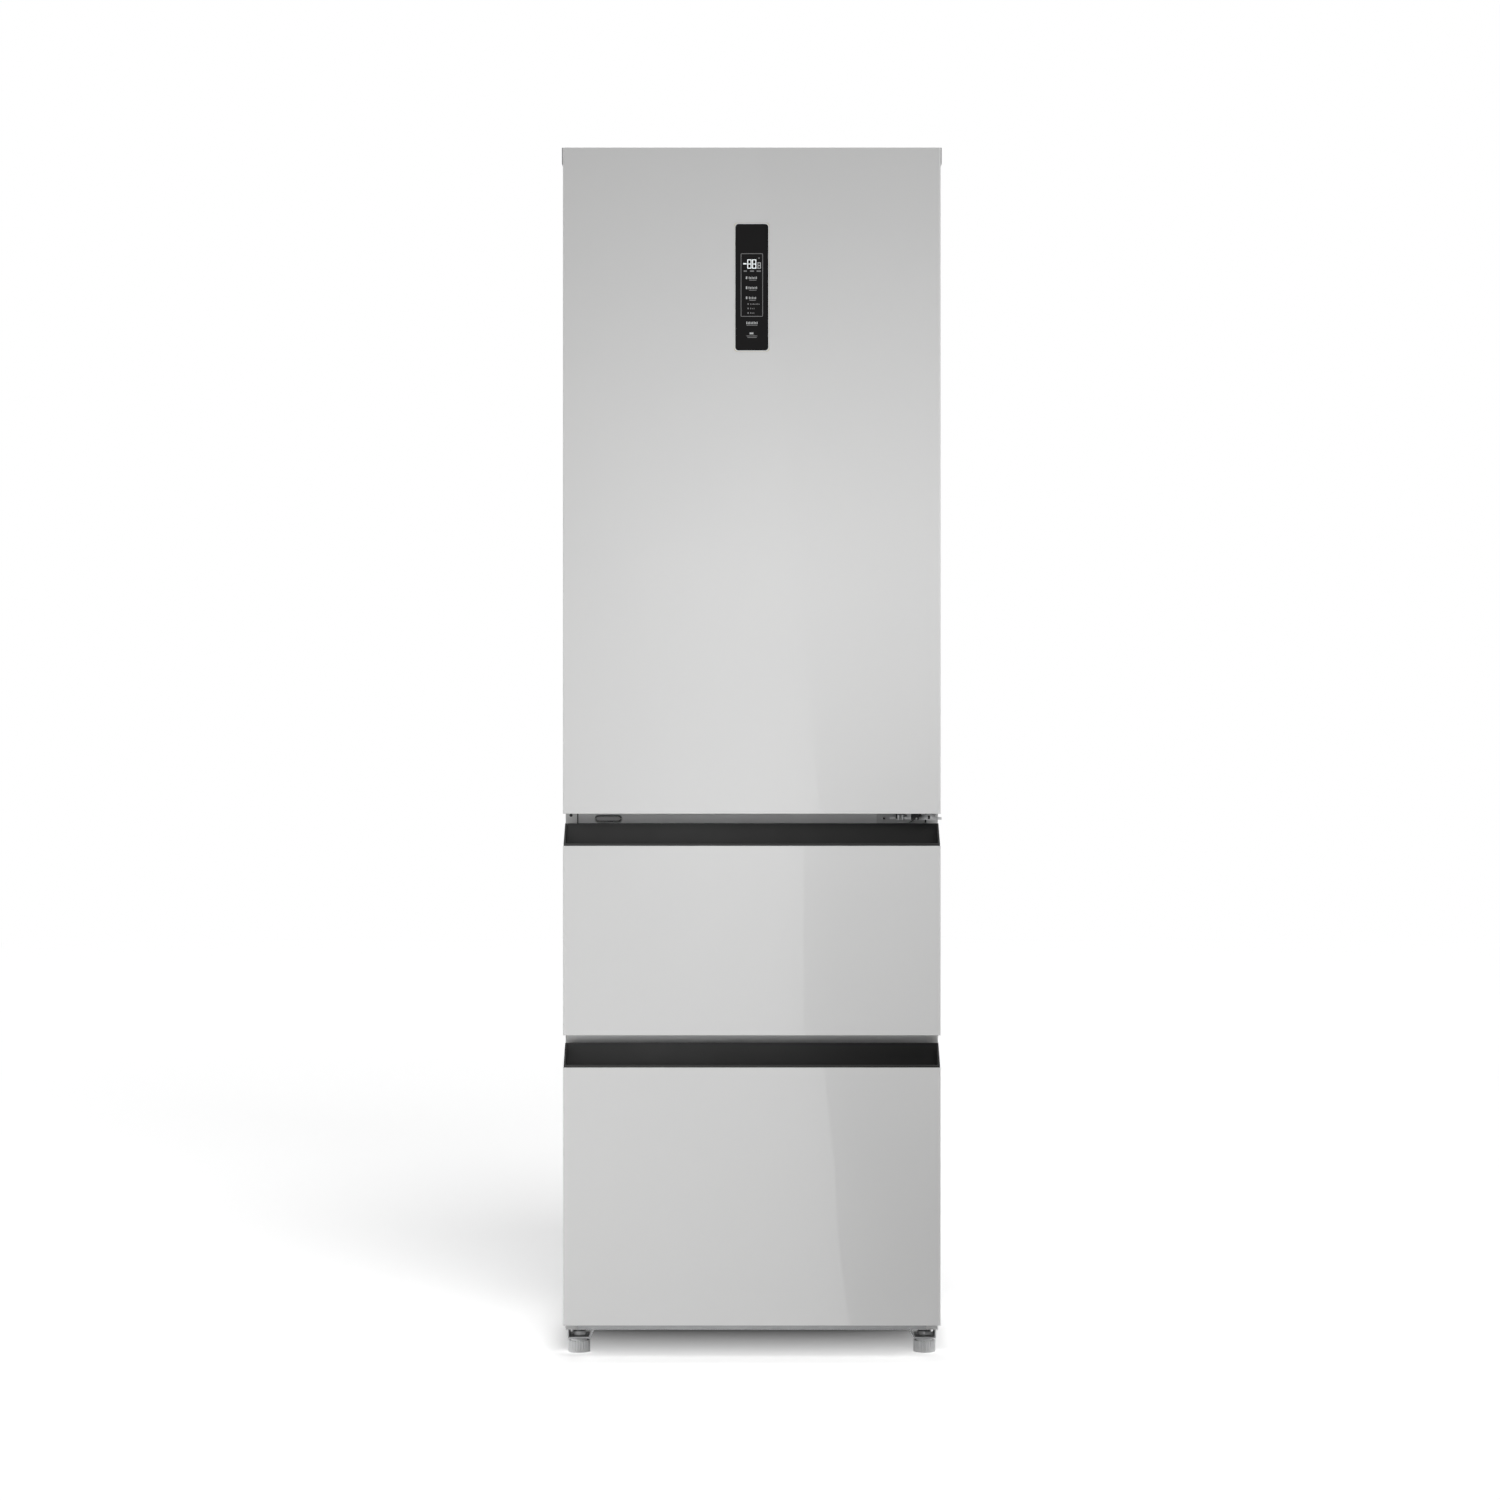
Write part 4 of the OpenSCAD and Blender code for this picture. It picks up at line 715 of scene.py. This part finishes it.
def print_bars(name, ink, bars):
    """One mesh of rounded plates; each bar is (left, top, right, bottom) in the photo's pixels."""
    deselect()
    bpy.ops.mesh.primitive_cube_add(size=1, location=(0, 0, 0))
    piece = bpy.context.active_object
    edit_mode()
    bpy.ops.mesh.delete(type="VERT")
    for left, top, right, bottom in bars:
        x0, z1 = at_pixel(left, top)
        x1, z0 = at_pixel(right, bottom)
        bpy.ops.mesh.primitive_cube_add(
            size=1, location=((x0 + x1) / 2, GLASS_LOW.y + INK / 2, (z0 + z1) / 2),
            scale=(x1 - x0, INK, z1 - z0))
    object_mode()
    settle(piece)
    apply_modifier(piece, "BEVEL", width=BAR_EDGE, segments=1, limit_method="NONE")
    hand_over(piece, name, ink, "door")
    print(name, len(bars), "bars")

# %% Seven-segment figures: boxes in the photo's pixels, as left, top, right, bottom
LARGE_FIGURES = [(747.3, 259.4, 751.5, 268.6), (752.1, 259.4, 756.3, 268.6)]
SMALL_FIGURE = (757.6, 262.4, 760.8, 268.6)
DEGREE_SIGN = (758.2, 257.4, 759.9, 259.4)
MINUS = (743.2, 263.1, 746.6, 264.4)
POINT = (756.6, 267.6, 757.3, 268.5)
EIGHT = "tmb1234"
LARGE_BAR = 0.85
SMALL_BAR = 0.7
SIGN_BAR = 0.45
CORNER_CUT = 0.25

def figure(left, top, right, bottom, lit, thick):
    """Bars of one figure; lit names its segments: t, m, b across, and 1 to 4 upright."""
    middle = (top + bottom) / 2
    half = (bottom - top) / 2
    cut = thick * CORNER_CUT
    inner = right - thick
    upright = {"1": (left, top), "2": (inner, top), "3": (left, middle), "4": (inner, middle)}
    across = {"t": top, "m": middle - thick / 2, "b": bottom - thick}
    bars = [(left + cut, across[s], right - cut, across[s] + thick) for s in lit if s in across]
    bars += [(upright[s][0], upright[s][1] + cut, upright[s][0] + thick, upright[s][1] + half - cut)
             for s in lit if s in upright]
    return bars

digits = [bar for place in LARGE_FIGURES for bar in figure(*place, EIGHT, LARGE_BAR)]
print_bars("display_figures", "ink_bright", digits + [MINUS])
print_bars("display_decimal", "ink_middle", figure(*SMALL_FIGURE, EIGHT, SMALL_BAR) + [POINT])

# %% Places of the level marks: rows as top, left, right, single bars as left, top, right, bottom
MODES = [(276.4, 748.8, 756.8), (286.4, 748.6, 757.0), (296.5, 749.0, 756.0)]
MODE_MARK = (745.9, 747.3)
MODE_HEIGHT = 2.6
MODE_DROP = 0.2
MODE_LINE = (3.5, 4.1)
MODE_LINE_INSET = 0.4
LEVELS = [(303.3, 750.3, 759.4), (307.7, 750.3, 754.4), (312.2, 750.3, 754.2)]
LEVEL_MARK = (747.5, 748.8)
LEVEL_HEIGHT = 1.5
WIDE_ROW = (321.6, 746.4, 757.5)
DASH = (749.6, 332.5, 753.4, 334.3)
RULES = [(746.6, 325.0, 757.4, 325.6), (746.6, 335.6, 757.4, 336.3), (747.4, 337.2, 756.8, 337.8)]
UNDER_FIGURES = [(743.7, 270.4, 746.8, 271.8), (750.0, 270.4, 754.0, 271.8),
                 (756.6, 270.4, 760.7, 271.8)]

# %% Level marks: a marker and a row of ticks, over a thin line
TICK_PITCH = 1.25
TICK_WIDTH = 0.72
TICK_DROPS = (0.0, 0.35, 0.1, 0.45, 0.2)

def ticks(left, right, top, bottom):
    count = int((right - left) / TICK_PITCH)
    step = (right - left - TICK_WIDTH) / max(count - 1, 1)
    return [(left + i * step, top + TICK_DROPS[i % 5], left + i * step + TICK_WIDTH, bottom)
            for i in range(count)]

marks, lines = [], []
for top, left, right in MODES:
    bottom = top + MODE_HEIGHT
    marks += [(MODE_MARK[0], top, MODE_MARK[1], bottom)] + ticks(left, right, top + MODE_DROP, bottom)
    lines += [(left + MODE_LINE_INSET, top + MODE_LINE[0], right - MODE_LINE_INSET, top + MODE_LINE[1])]
top, left, right = WIDE_ROW
marks += ticks(left, right, top, top + MODE_HEIGHT) + [DASH]
print_bars("display_marks", "ink_middle", marks)
for top, left, right in LEVELS:
    bottom = top + LEVEL_HEIGHT
    lines += [(LEVEL_MARK[0], top, LEVEL_MARK[1], bottom)] + ticks(left, right, top, bottom)
lines += RULES + UNDER_FIGURES + figure(*DEGREE_SIGN, "tm12", SIGN_BAR)
print_bars("display_lines", "ink_dim", lines)

# %% Frame line round the marks
FRAME_TOP_LEFT = (740.7, 253.3)
FRAME_LOW_RIGHT = (763.0, 316.7)
FRAME_LINE = 0.0011
FRAME_RADIUS = 0.0018

def print_frame(name, ink, x0, z1, x1, z0, line, radius, face, thick=INK, body="door"):
    """A rounded rectangular ring, given by its left, top, right and bottom, from an inset plate."""
    deselect()
    bpy.ops.mesh.primitive_plane_add(size=1, location=((x0 + x1) / 2, face, (z0 + z1) / 2),
                                     rotation=(math.radians(90), 0, 0))
    piece = bpy.context.active_object
    piece.scale = (x1 - x0, z1 - z0, 1)
    settle(piece)
    edit_mode()
    bpy.ops.mesh.select_all(action="SELECT")
    bpy.ops.mesh.bevel(offset=radius, segments=6, affect="VERTICES")
    bpy.ops.mesh.select_all(action="SELECT")
    bpy.ops.mesh.inset(thickness=line, depth=0)
    bpy.ops.mesh.delete(type="FACE")
    face_outwards()
    apply_modifier(piece, "SOLIDIFY", thickness=thick, offset=0)
    move = (face + thick / 2) - (span(piece)[0][1] + span(piece)[1][1]) / 2
    move_where(piece, lambda c: True, (0, move, 0))
    hand_over(piece, name, ink, body)
    print(name, [round(v / MM, 2) for pair in span(piece) for v in pair])

print_frame("display_frame", "ink_frame", *at_pixel(*FRAME_TOP_LEFT), *at_pixel(*FRAME_LOW_RIGHT),
            FRAME_LINE, FRAME_RADIUS, GLASS_LOW.y)

# %% [markdown]
# ## The fronts
#
# Each front is one folded sheet. Its upright edges are rolled round a large radius, which the copy keeps,
# and its cut edges get a small fold. The door's cut-out for the display is opened by the width of a
# light rim, which the glass's clear frame forms in it; the rim's faint glow is painted light.

# %% Panels
FOLD = 0.0005
RIM = 0.0015
GLASS_RADIUS = 0.005
NEAR = 0.01
FACE_DEPTH = 0.003
GLASS_MIDDLE = (GLASS_LOW + GLASS_HIGH) / 2
GLASS_SIZE = GLASS_HIGH - GLASS_LOW

def round_the_glass(c):
    """True for the points on the door's face that edge the cut-out."""
    return (GLASS_LOW.x - NEAR < c.x < GLASS_HIGH.x + NEAR and c.y < FRONT_Y + FACE_DEPTH
            and GLASS_LOW.z - NEAR < c.z < GLASS_HIGH.z + NEAR)

door_skin = soften("door_panel", FOLD, segments=3)
scale_where(door_skin, round_the_glass,
            (1 + 2 * RIM / GLASS_SIZE.x, 1, 1 + 2 * RIM / GLASS_SIZE.z), GLASS_MIDDLE)
# The light rim glows faintly: painted light, as the rim is no lamp.
print_frame("display_rim", "light_rim_painted_glow", GLASS_LOW.x - RIM, GLASS_HIGH.z + RIM, GLASS_HIGH.x + RIM,
            GLASS_LOW.z - RIM, RIM, GLASS_RADIUS + RIM, FRONT_Y + INK, 3 * INK)
for node in ("upper_front_panel", "lower_front_panel"):
    soften(node, FOLD, segments=3)

# %% [markdown]
# ## Screws
#
# The hinges are held by pan-head screws with a cross recess. The model has them as plain heads, so one
# real head is turned from a circle and cut with a cross, and a copy of it goes to each place. The
# places and sizes are read from the node's own islands, so that the screws stay where they belong.

# %% Helper: a piece turned from one circle
def turned(profile, steps=32):
    """A closed piece about Z, from (radius, height) pairs: one circle, extruded and scaled."""
    deselect()
    radius, height = profile[0]
    bpy.ops.mesh.primitive_circle_add(vertices=steps, radius=radius, fill_type="NGON",
                                      location=(0, 0, height))
    piece = bpy.context.active_object
    settle(piece)
    edit_mode()
    bpy.ops.mesh.select_mode(type="FACE")
    bpy.ops.mesh.select_all(action="SELECT")
    for wide, high in profile[1:]:
        bpy.ops.mesh.extrude_region_move(TRANSFORM_OT_translate={"value": (0, 0, high - height)})
        bpy.ops.transform.resize(value=(wide / radius, wide / radius, 1), center_override=(0, 0, high))
        radius, height = wide, high
    face_outwards()
    return piece

# %% Helpers: boxes, cuts and joins
def box_piece(low, high):
    deselect()
    middle = [(a + b) / 2 for a, b in zip(low, high)]
    bpy.ops.mesh.primitive_cube_add(size=1, location=middle, scale=[b - a for a, b in zip(low, high)])
    piece = bpy.context.active_object
    settle(piece)
    return piece

def cut_box(piece, low, high):
    """Cuts a box out of piece with an applied Boolean."""
    cutter = box_piece(low, high)
    apply_modifier(piece, "BOOLEAN", operation="DIFFERENCE", object=cutter, solver="EXACT")
    bpy.data.objects.remove(cutter)

def join(pieces):
    deselect()
    for piece in pieces:
        piece.select_set(True)
    bpy.context.view_layer.objects.active = pieces[0]
    bpy.ops.object.join()
    return pieces[0]

# %% Islands of a node: where each loose body of it lies
def islands(node):
    """(low corner, high corner) of every separate body of a node."""
    piece = own_copy(NODES[node], node + "_islands")
    take(piece)
    edit_mode()
    bpy.ops.mesh.select_all(action="SELECT")
    bpy.ops.mesh.remove_doubles(threshold=MERGE)
    bpy.ops.mesh.separate(type="LOOSE")
    object_mode()
    found = list(bpy.context.selected_objects)
    boxes = sorted(tuple(tuple(c) for c in span(one)) for one in found)
    for one in found:
        bpy.data.objects.remove(one)
    return [(Vector(low), Vector(high)) for low, high in boxes]

# %% One screw: head radius 1, head height 1, its seat at height 0, axis up
HEAD = [(0.45, -1.2), (0.45, -0.02), (1.0, 0.0), (1.0, 0.45), (0.93, 0.72), (0.76, 0.90), (0.5, 1.0)]
CROSS_LONG = 0.525
CROSS_WIDE = 0.11
CROSS_FLOOR = 0.45
CROSS_TOP = 1.55

screw = turned(HEAD, steps=36)
for x, y in ((CROSS_LONG, CROSS_WIDE), (CROSS_WIDE, CROSS_LONG)):
    cut_box(screw, (-x, -y, CROSS_FLOOR), (x, y, CROSS_TOP))
smooth(screw, degrees=30)

# %% Its copies on the hinges, each turned on by a step of its own
TURN_STEP = 0.7
HEIGHT_ON_TOP = 0.0025
HEIGHT_IN_FRONT = 0.0020

def place_head(low, high, turn):
    """A copy of the screw on one island, facing up where the island is round from above."""
    size = high - low
    middle = (low + high) / 2
    head = own_copy(screw, "screw_head")
    if size.y > size.z - CLOSE and abs(size.x - size.y) < CLOSE:
        height = HEIGHT_ON_TOP
        head.location = (middle.x, middle.y, high.z - height)
        head.rotation_euler = (0, 0, turn)
    else:
        height = HEIGHT_IN_FRONT
        head.location = (middle.x, low.y + height, middle.z)
        head.rotation_euler = (math.radians(90), turn, 0)
    head.scale = (size.x / 2, size.x / 2, height)
    settle(head)
    return head

heads = [place_head(low, high, number * TURN_STEP)
         for number, (low, high) in enumerate(islands("hinge_screws"))]
print(len(heads), "screws")
hand_over(join(heads), "hinge_screw_heads", SLOT_OF["hinge_screws"], BODY_OF["hinge_screws"],
          "hinge_screws")

# %% [markdown]
# ## Between the door and the upper drawer
#
# The gap under the door shows a row of small parts. From left to right they are a screw in the frame,
# the plug over the spare hinge holes with a painted shadow ring for the groove in its face, the socket of
# the plate's screw, a ribbed spacer with a painted shadow strip at its left side, the black stop block
# that hangs from the door with a bright rivet, the spring wire that catches it, the turned-up edge of the
# hinge arm with a pad on it, and a spring's leg.

# %% Places in the gap
HINGE_LOW, HINGE_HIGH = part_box("middle_hinge")
ARM_ROUND = 0.0125
ARM_UNDER = 0.0280
PIN = (round(HINGE_HIGH.x - ARM_ROUND, 4), round(HINGE_LOW.y + ARM_ROUND, 4),
       round(HINGE_LOW.z + ARM_UNDER, 4))
BEAM_LOW, BEAM_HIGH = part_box("upper_crossbeam")

def from_pin(x, y, z):
    """Metres of a place given in millimetres from the pin's axis and the underside of its arm."""
    return PIN[0] + x * MM, PIN[1] + y * MM, PIN[2] + z * MM

print("pin at", PIN)

# %% Screw at the left end, and the socket of the plate's screw
FRAME_SCREW = (-0.2855, BEAM_LOW.y, 0.8515)
FRAME_SCREW_SIZE = (0.0025, 0.0025, 0.0012)
FRAME_SCREW_TURN = 0.4
SOCKET = [(0.0017, -0.0006), (0.0017, 0.0), (0.0014, 0.0002)]
SOCKET_PLACE = (-76.4, 38.0, 1.1)

frame_screw = own_copy(screw, "frame_screw")
frame_screw.scale = FRAME_SCREW_SIZE
frame_screw.rotation_euler = (math.radians(90), FRAME_SCREW_TURN, 0)
frame_screw.location = FRAME_SCREW
settle(frame_screw)
hand_over(frame_screw, "frame_screw", "grip_black", "cabinet")
bpy.data.objects.remove(screw)
socket = turned(SOCKET, steps=24)
socket.rotation_euler = (math.radians(90), 0, 0)
socket.location = from_pin(*SOCKET_PLACE)
settle(socket)
hand_over(socket, "plate_screw_socket", "grip_black", "cabinet")
print("screws at x", FRAME_SCREW[0], "and", round(from_pin(*SOCKET_PLACE)[0], 4))

# %% Painted shadow of the plug's groove, by half its width and height
PLUG_LOW, PLUG_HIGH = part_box("hinge_plug")
GROOVE_SHADOW_WIDE = 0.0210
GROOVE_SHADOW_HIGH = 0.0051
GROOVE_SHADOW_LINE = 0.0021
GROOVE_SHADOW_RADIUS = 0.00509
GROOVE_SHADOW_RISE = 0.0006

# A dark ring on the plug's face stands for the shade in its groove: a painted shadow.
groove_shadow_x = (PLUG_LOW.x + PLUG_HIGH.x) / 2
groove_shadow_z = (PLUG_LOW.z + PLUG_HIGH.z) / 2 + GROOVE_SHADOW_RISE
print_frame("plug_groove_painted_shadow", "grip_black", groove_shadow_x - GROOVE_SHADOW_WIDE, groove_shadow_z + GROOVE_SHADOW_HIGH,
            groove_shadow_x + GROOVE_SHADOW_WIDE, groove_shadow_z - GROOVE_SHADOW_HIGH, GROOVE_SHADOW_LINE, GROOVE_SHADOW_RADIUS,
            PLUG_LOW.y, body="cabinet")

# %% Sealed ends of the beam
BEAD_X = 0.0010
BEAD_Y = 0.0004
BEAD_INSET = 0.0012
BEAD_SHORTER = 0.002

bead = join([box_piece((x - BEAD_X, BEAM_LOW.y - BEAD_Y, BEAM_LOW.z + BEAD_SHORTER),
                       (x + BEAD_X, BEAM_LOW.y + BEAD_Y, BEAM_HIGH.z - BEAD_SHORTER))
             for x in (BEAM_LOW.x + BEAD_INSET, BEAM_HIGH.x - BEAD_INSET)])
apply_modifier(bead, "BEVEL", width=0.0003, segments=2)
hand_over(bead, "beam_end_sealant", "dark_plastic", "cabinet")
print("sealant on both ends")

# %% Stop block with its rivet
BLOCK = ((-35.5, -10.0, -0.5), (-23.8, -0.5, 9.7))
BLOCK_BORDER = 0.0014
BLOCK_HOLLOW = 0.0006
RIVET = [(0.0015, 0.0), (0.0015, 0.0002), (0.0013, 0.0007), (0.0007, 0.0010)]
RIVET_PLACE = (-27.3, -9.4, 1.9)
FACING_FRONT = -0.9

def select_front(piece):
    """Goes into edit mode with only the faces selected that look to the front."""
    take(piece)
    edit_mode()
    bpy.ops.mesh.select_mode(type="FACE")
    bpy.ops.mesh.select_all(action="DESELECT")
    object_mode()
    for face in piece.data.polygons:
        face.select = face.normal.y < FACING_FRONT
    edit_mode()

block = box_piece(from_pin(*BLOCK[0]), from_pin(*BLOCK[1]))
select_front(block)
bpy.ops.mesh.inset(thickness=BLOCK_BORDER, depth=0)
bpy.ops.transform.translate(value=(0, BLOCK_HOLLOW, 0))
object_mode()
apply_modifier(block, "BEVEL", width=0.0004, segments=2, limit_method="ANGLE")
smooth(block)
hand_over(block, "door_stop_block", "grip_black", "door")
rivet = turned(RIVET, steps=20)
rivet.rotation_euler = (math.radians(90), 0, 0)
rivet.location = from_pin(*RIVET_PLACE)
settle(rivet)
smooth(rivet, degrees=60)
hand_over(rivet, "door_stop_rivet", "aluminium", "door")
print("stop block and rivet")

# %% Spacer, its ribs, and the spring wire
SPACER = ((-56.5, 18.0, -1.3), (-44.2, 28.0, 8.1))
RIB_X = (-53.2, -47.0)
RIB_Y = 18.0
RIB_Z = (-1.1, 7.9)
RIB_RADIUS = 0.0016
WIRE = ((-29.4, -1.5, 0.5), (-36.2, 40.5, -5.3))
WIRE_RADIUS = 0.0006
ROD_ROUND = 0.4

def soft_box(name, corners, slot, width, segments):
    """A box on the cabinet with rounded edges, its corners in millimetres from the pin."""
    piece = box_piece(from_pin(*corners[0]), from_pin(*corners[1]))
    apply_modifier(piece, "BEVEL", width=width, segments=segments)
    smooth(piece)
    hand_over(piece, name, slot, "cabinet")

def rod(start, end, radius, steps=10):
    """A round bar with rounded ends, both ends in millimetres from the pin."""
    start = Vector(from_pin(*start))
    along = Vector(from_pin(*end)) - start
    soft = radius * ROD_ROUND
    piece = turned([(radius - soft, 0), (radius, soft), (radius, along.length - soft),
                    (radius - soft, along.length)], steps)
    piece.rotation_euler = along.to_track_quat("Z", "Y").to_euler()
    piece.location = start
    settle(piece)
    smooth(piece, degrees=40)
    return piece

soft_box("hinge_spacer", SPACER, "hinge_steel", width=0.0012, segments=3)
ribs = join([rod((x, RIB_Y, RIB_Z[0]), (x, RIB_Y, RIB_Z[1]), RIB_RADIUS, steps=16) for x in RIB_X])
hand_over(ribs, "hinge_spacer_ribs", "aluminium", "cabinet")
hand_over(rod(*WIRE, WIRE_RADIUS), "stop_spring_wire", "grip_black", "cabinet")
print("spacer with", len(RIB_X), "ribs, and the wire")

# %% Turned-up edge of the hinge arm, as runs of x, y to x, y round its tip
ARM_EDGE = [(-41.0, 19.65, -35.0, 14.55), (-18.8, 0.8, -7.5, -8.8), (-7.5, -8.8, -5.8, -10.05),
            (-5.8, -10.05, -3.0, -11.2), (-3.0, -11.2, 0.0, -11.6)]
EDGE_Z = (3.9, 8.8)
EDGE_HALF = 0.6

def edge_run(x0, y0, x1, y1):
    strip = box_piece((0, -EDGE_HALF * MM, from_pin(0, 0, EDGE_Z[0])[2]),
                      (math.hypot(x1 - x0, y1 - y0) * MM, EDGE_HALF * MM, from_pin(0, 0, EDGE_Z[1])[2]))
    strip.rotation_euler = (0, 0, math.atan2(y1 - y0, x1 - x0))
    strip.location = (*from_pin(x0, y0, 0)[:2], 0)
    settle(strip)
    return strip

edge = join([edge_run(*run) for run in ARM_EDGE])
apply_modifier(edge, "BEVEL", width=0.0002, segments=2, limit_method="ANGLE")
hand_over(edge, "hinge_arm_edge", "hinge_steel", "cabinet")
print("edge in", len(ARM_EDGE), "runs")

# %% Pad on the arm, spring leg and the painted shadow beside the spacer
# The dark strip left of the spacer stands for the shade in the gap there: a painted shadow.
SMALL_PARTS = {"hinge_arm_pad": ((-9.8, -11.2, 1.1), (-6.4, -9.2, 6.5)),
               "hinge_spring_leg": ((-13.0, 21.8, -5.5), (-10.6, 24.2, 0.3)),
               "hinge_spacer_lip": ((-58.6, 19.5, 0.7), (-56.3, 26.0, 8.1))}
for name, corners in SMALL_PARTS.items():
    soft_box(name, corners, "grip_black", width=0.0003, segments=2)
print(len(SMALL_PARTS), "small parts")

# %% [markdown]
# ## Levelling feet
#
# A foot is a moulded disc with grip notches round its rim, on a threaded stud. The notches are in the
# model; here their edges are softened, the stud is drawn in to the core of its thread, and the thread
# itself is a small triangle swept up a helix by the Screw modifier. A collar under the bracket and a
# six-sided lock nut over it are turned from circles.

# %% Sizes of the stud, its collar and its lock nut
STUD_RADIUS = 0.005
STUD_LOW = 0.020
THREAD_PITCH = 0.00125
THREAD_DEPTH = 0.0007
THREAD_TOOTH = 0.0006
THREAD_LOW = 0.0212
THREAD_SHORTER = 0.001
RINGS = {"collar": (40, [(0.0125, 0.0211), (0.0130, 0.0217), (0.0130, 0.0230), (0.0115, 0.0237)]),
         "nut": (6, [(0.0110, 0.0267), (0.0120, 0.0273), (0.0120, 0.0325), (0.0108, 0.0332)])}

# %% Helper: the thread of one stud
def make_thread(x, y, top):
    """A small triangle swept up a helix round x, y."""
    deselect()
    bpy.ops.mesh.primitive_circle_add(vertices=3, radius=THREAD_TOOTH, fill_type="NOTHING",
                                      location=(STUD_RADIUS - THREAD_TOOTH, 0, 0))
    thread = bpy.context.active_object
    thread.rotation_euler = (math.radians(90), math.radians(90), 0)
    settle(thread)
    move_where(thread, lambda c: True, (STUD_RADIUS - span(thread)[1][0], 0, 0))
    apply_modifier(thread, "SCREW", angle=math.radians(360), screw_offset=THREAD_PITCH,
                   iterations=int((top - THREAD_SHORTER - THREAD_LOW) / THREAD_PITCH),
                   steps=20, render_steps=20, use_merge_vertices=False)
    edit_mode()
    bpy.ops.mesh.select_all(action="SELECT")
    bpy.ops.mesh.remove_doubles(threshold=MERGE)
    bpy.ops.mesh.fill_holes(sides=4)
    face_outwards()
    thread.location = (x, y, THREAD_LOW)
    settle(thread)
    return thread

# %% Feet with a threaded stud
FOOT_EDGE = 0.0003

def make_foot(node):
    foot = soften(node, FOOT_EDGE)
    low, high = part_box(node)
    x, y = (low.x + high.x) / 2, (low.y + high.y) / 2
    core = (STUD_RADIUS - THREAD_DEPTH) / STUD_RADIUS
    scale_where(foot, lambda c: math.hypot(c.x - x, c.y - y) < STUD_RADIUS + CLOSE and c.z > STUD_LOW,
                (core, core, 1), (x, y, 0))
    hand_over(make_thread(x, y, high.z), node + "_thread", "zinc_sheet", BODY_OF[node])
    for part, (steps, profile) in RINGS.items():
        ring = turned(profile, steps)
        ring.location = (x, y, 0)
        settle(ring)
        apply_modifier(ring, "BEVEL", width=0.0003, segments=2, limit_method="ANGLE")
        smooth(ring, degrees=30)
        hand_over(ring, node + "_" + part, "foot_grey", BODY_OF[node])

for node in ("front_foot_left", "front_foot_right"):
    make_foot(node)

# %% [markdown]
# ## The other nodes that show
#
# Sheet metal, mouldings and castings all have a small radius on their edges. Its width follows the
# part: fine on folded sheet, wider on mouldings. On the slides only the rolled steel is rounded, and
# their balls stay as they are. The foams and the two tube coils are out of sight and keep their faces.

# %% Softened edges in millimetres, sheet and mouldings
SOFT_MM = {
    "outer_shell": 0.3, "back_panel": 0.3, "base_pan": 0.3, "upper_crossbeam": 0.4,
    "lower_crossbeam": 0.4, "top_trim": 0.6, "hinge_plug": 0.35, "top_hinge": 0.4,
    "middle_hinge": 0.4, "machine_cover": 0.3, "door_top_cap": 0.5, "door_bottom_cap": 0.5,
    "upper_grip": 0.35, "lower_grip": 0.35, "door_liner": 1.2, "fridge_liner": 1.2,
    "freezer_liner": 1.2, "evaporator_cover": 0.6, "air_duct": 1.0, "lamp_lens": 0.8,
    "shelf_top": 0.6, "shelf_middle": 0.6, "crisper_cover": 0.6, "shelf_trims": 0.5,
    "crisper_drawer": 0.6, "bin_top": 0.6, "bin_middle": 0.6, "bin_bottle": 0.6,
    "upper_box": 0.6, "lower_box": 0.6, "upper_front_core": 1.0, "lower_front_core": 1.0,
    "drip_tray": 0.5, "fan_shroud": 0.4, "evaporator_fan": 0.3, "condenser_fan": 0.3,
    "cord_gland": 0.4, "roller_left": 0.4, "roller_right": 0.4, "compressor": 0.8,
    "compressor_mounts": 0.8, "door_gasket": 0.4, "upper_gasket": 0.4, "lower_gasket": 0.4,
}
for node, width in SOFT_MM.items():
    soften(node, width * MM)

# %% Softened edges of the slides
RAIL_MM = 0.15
RAILS = ("fixed_rails", "upper_mid_rails", "upper_inner_rails", "lower_mid_rails",
         "lower_inner_rails")
for node in RAILS:
    soften(node, RAIL_MM * MM, degrees=50)
print("left as they are:", sorted(n for n in NODES if not NODES[n].hide_render))
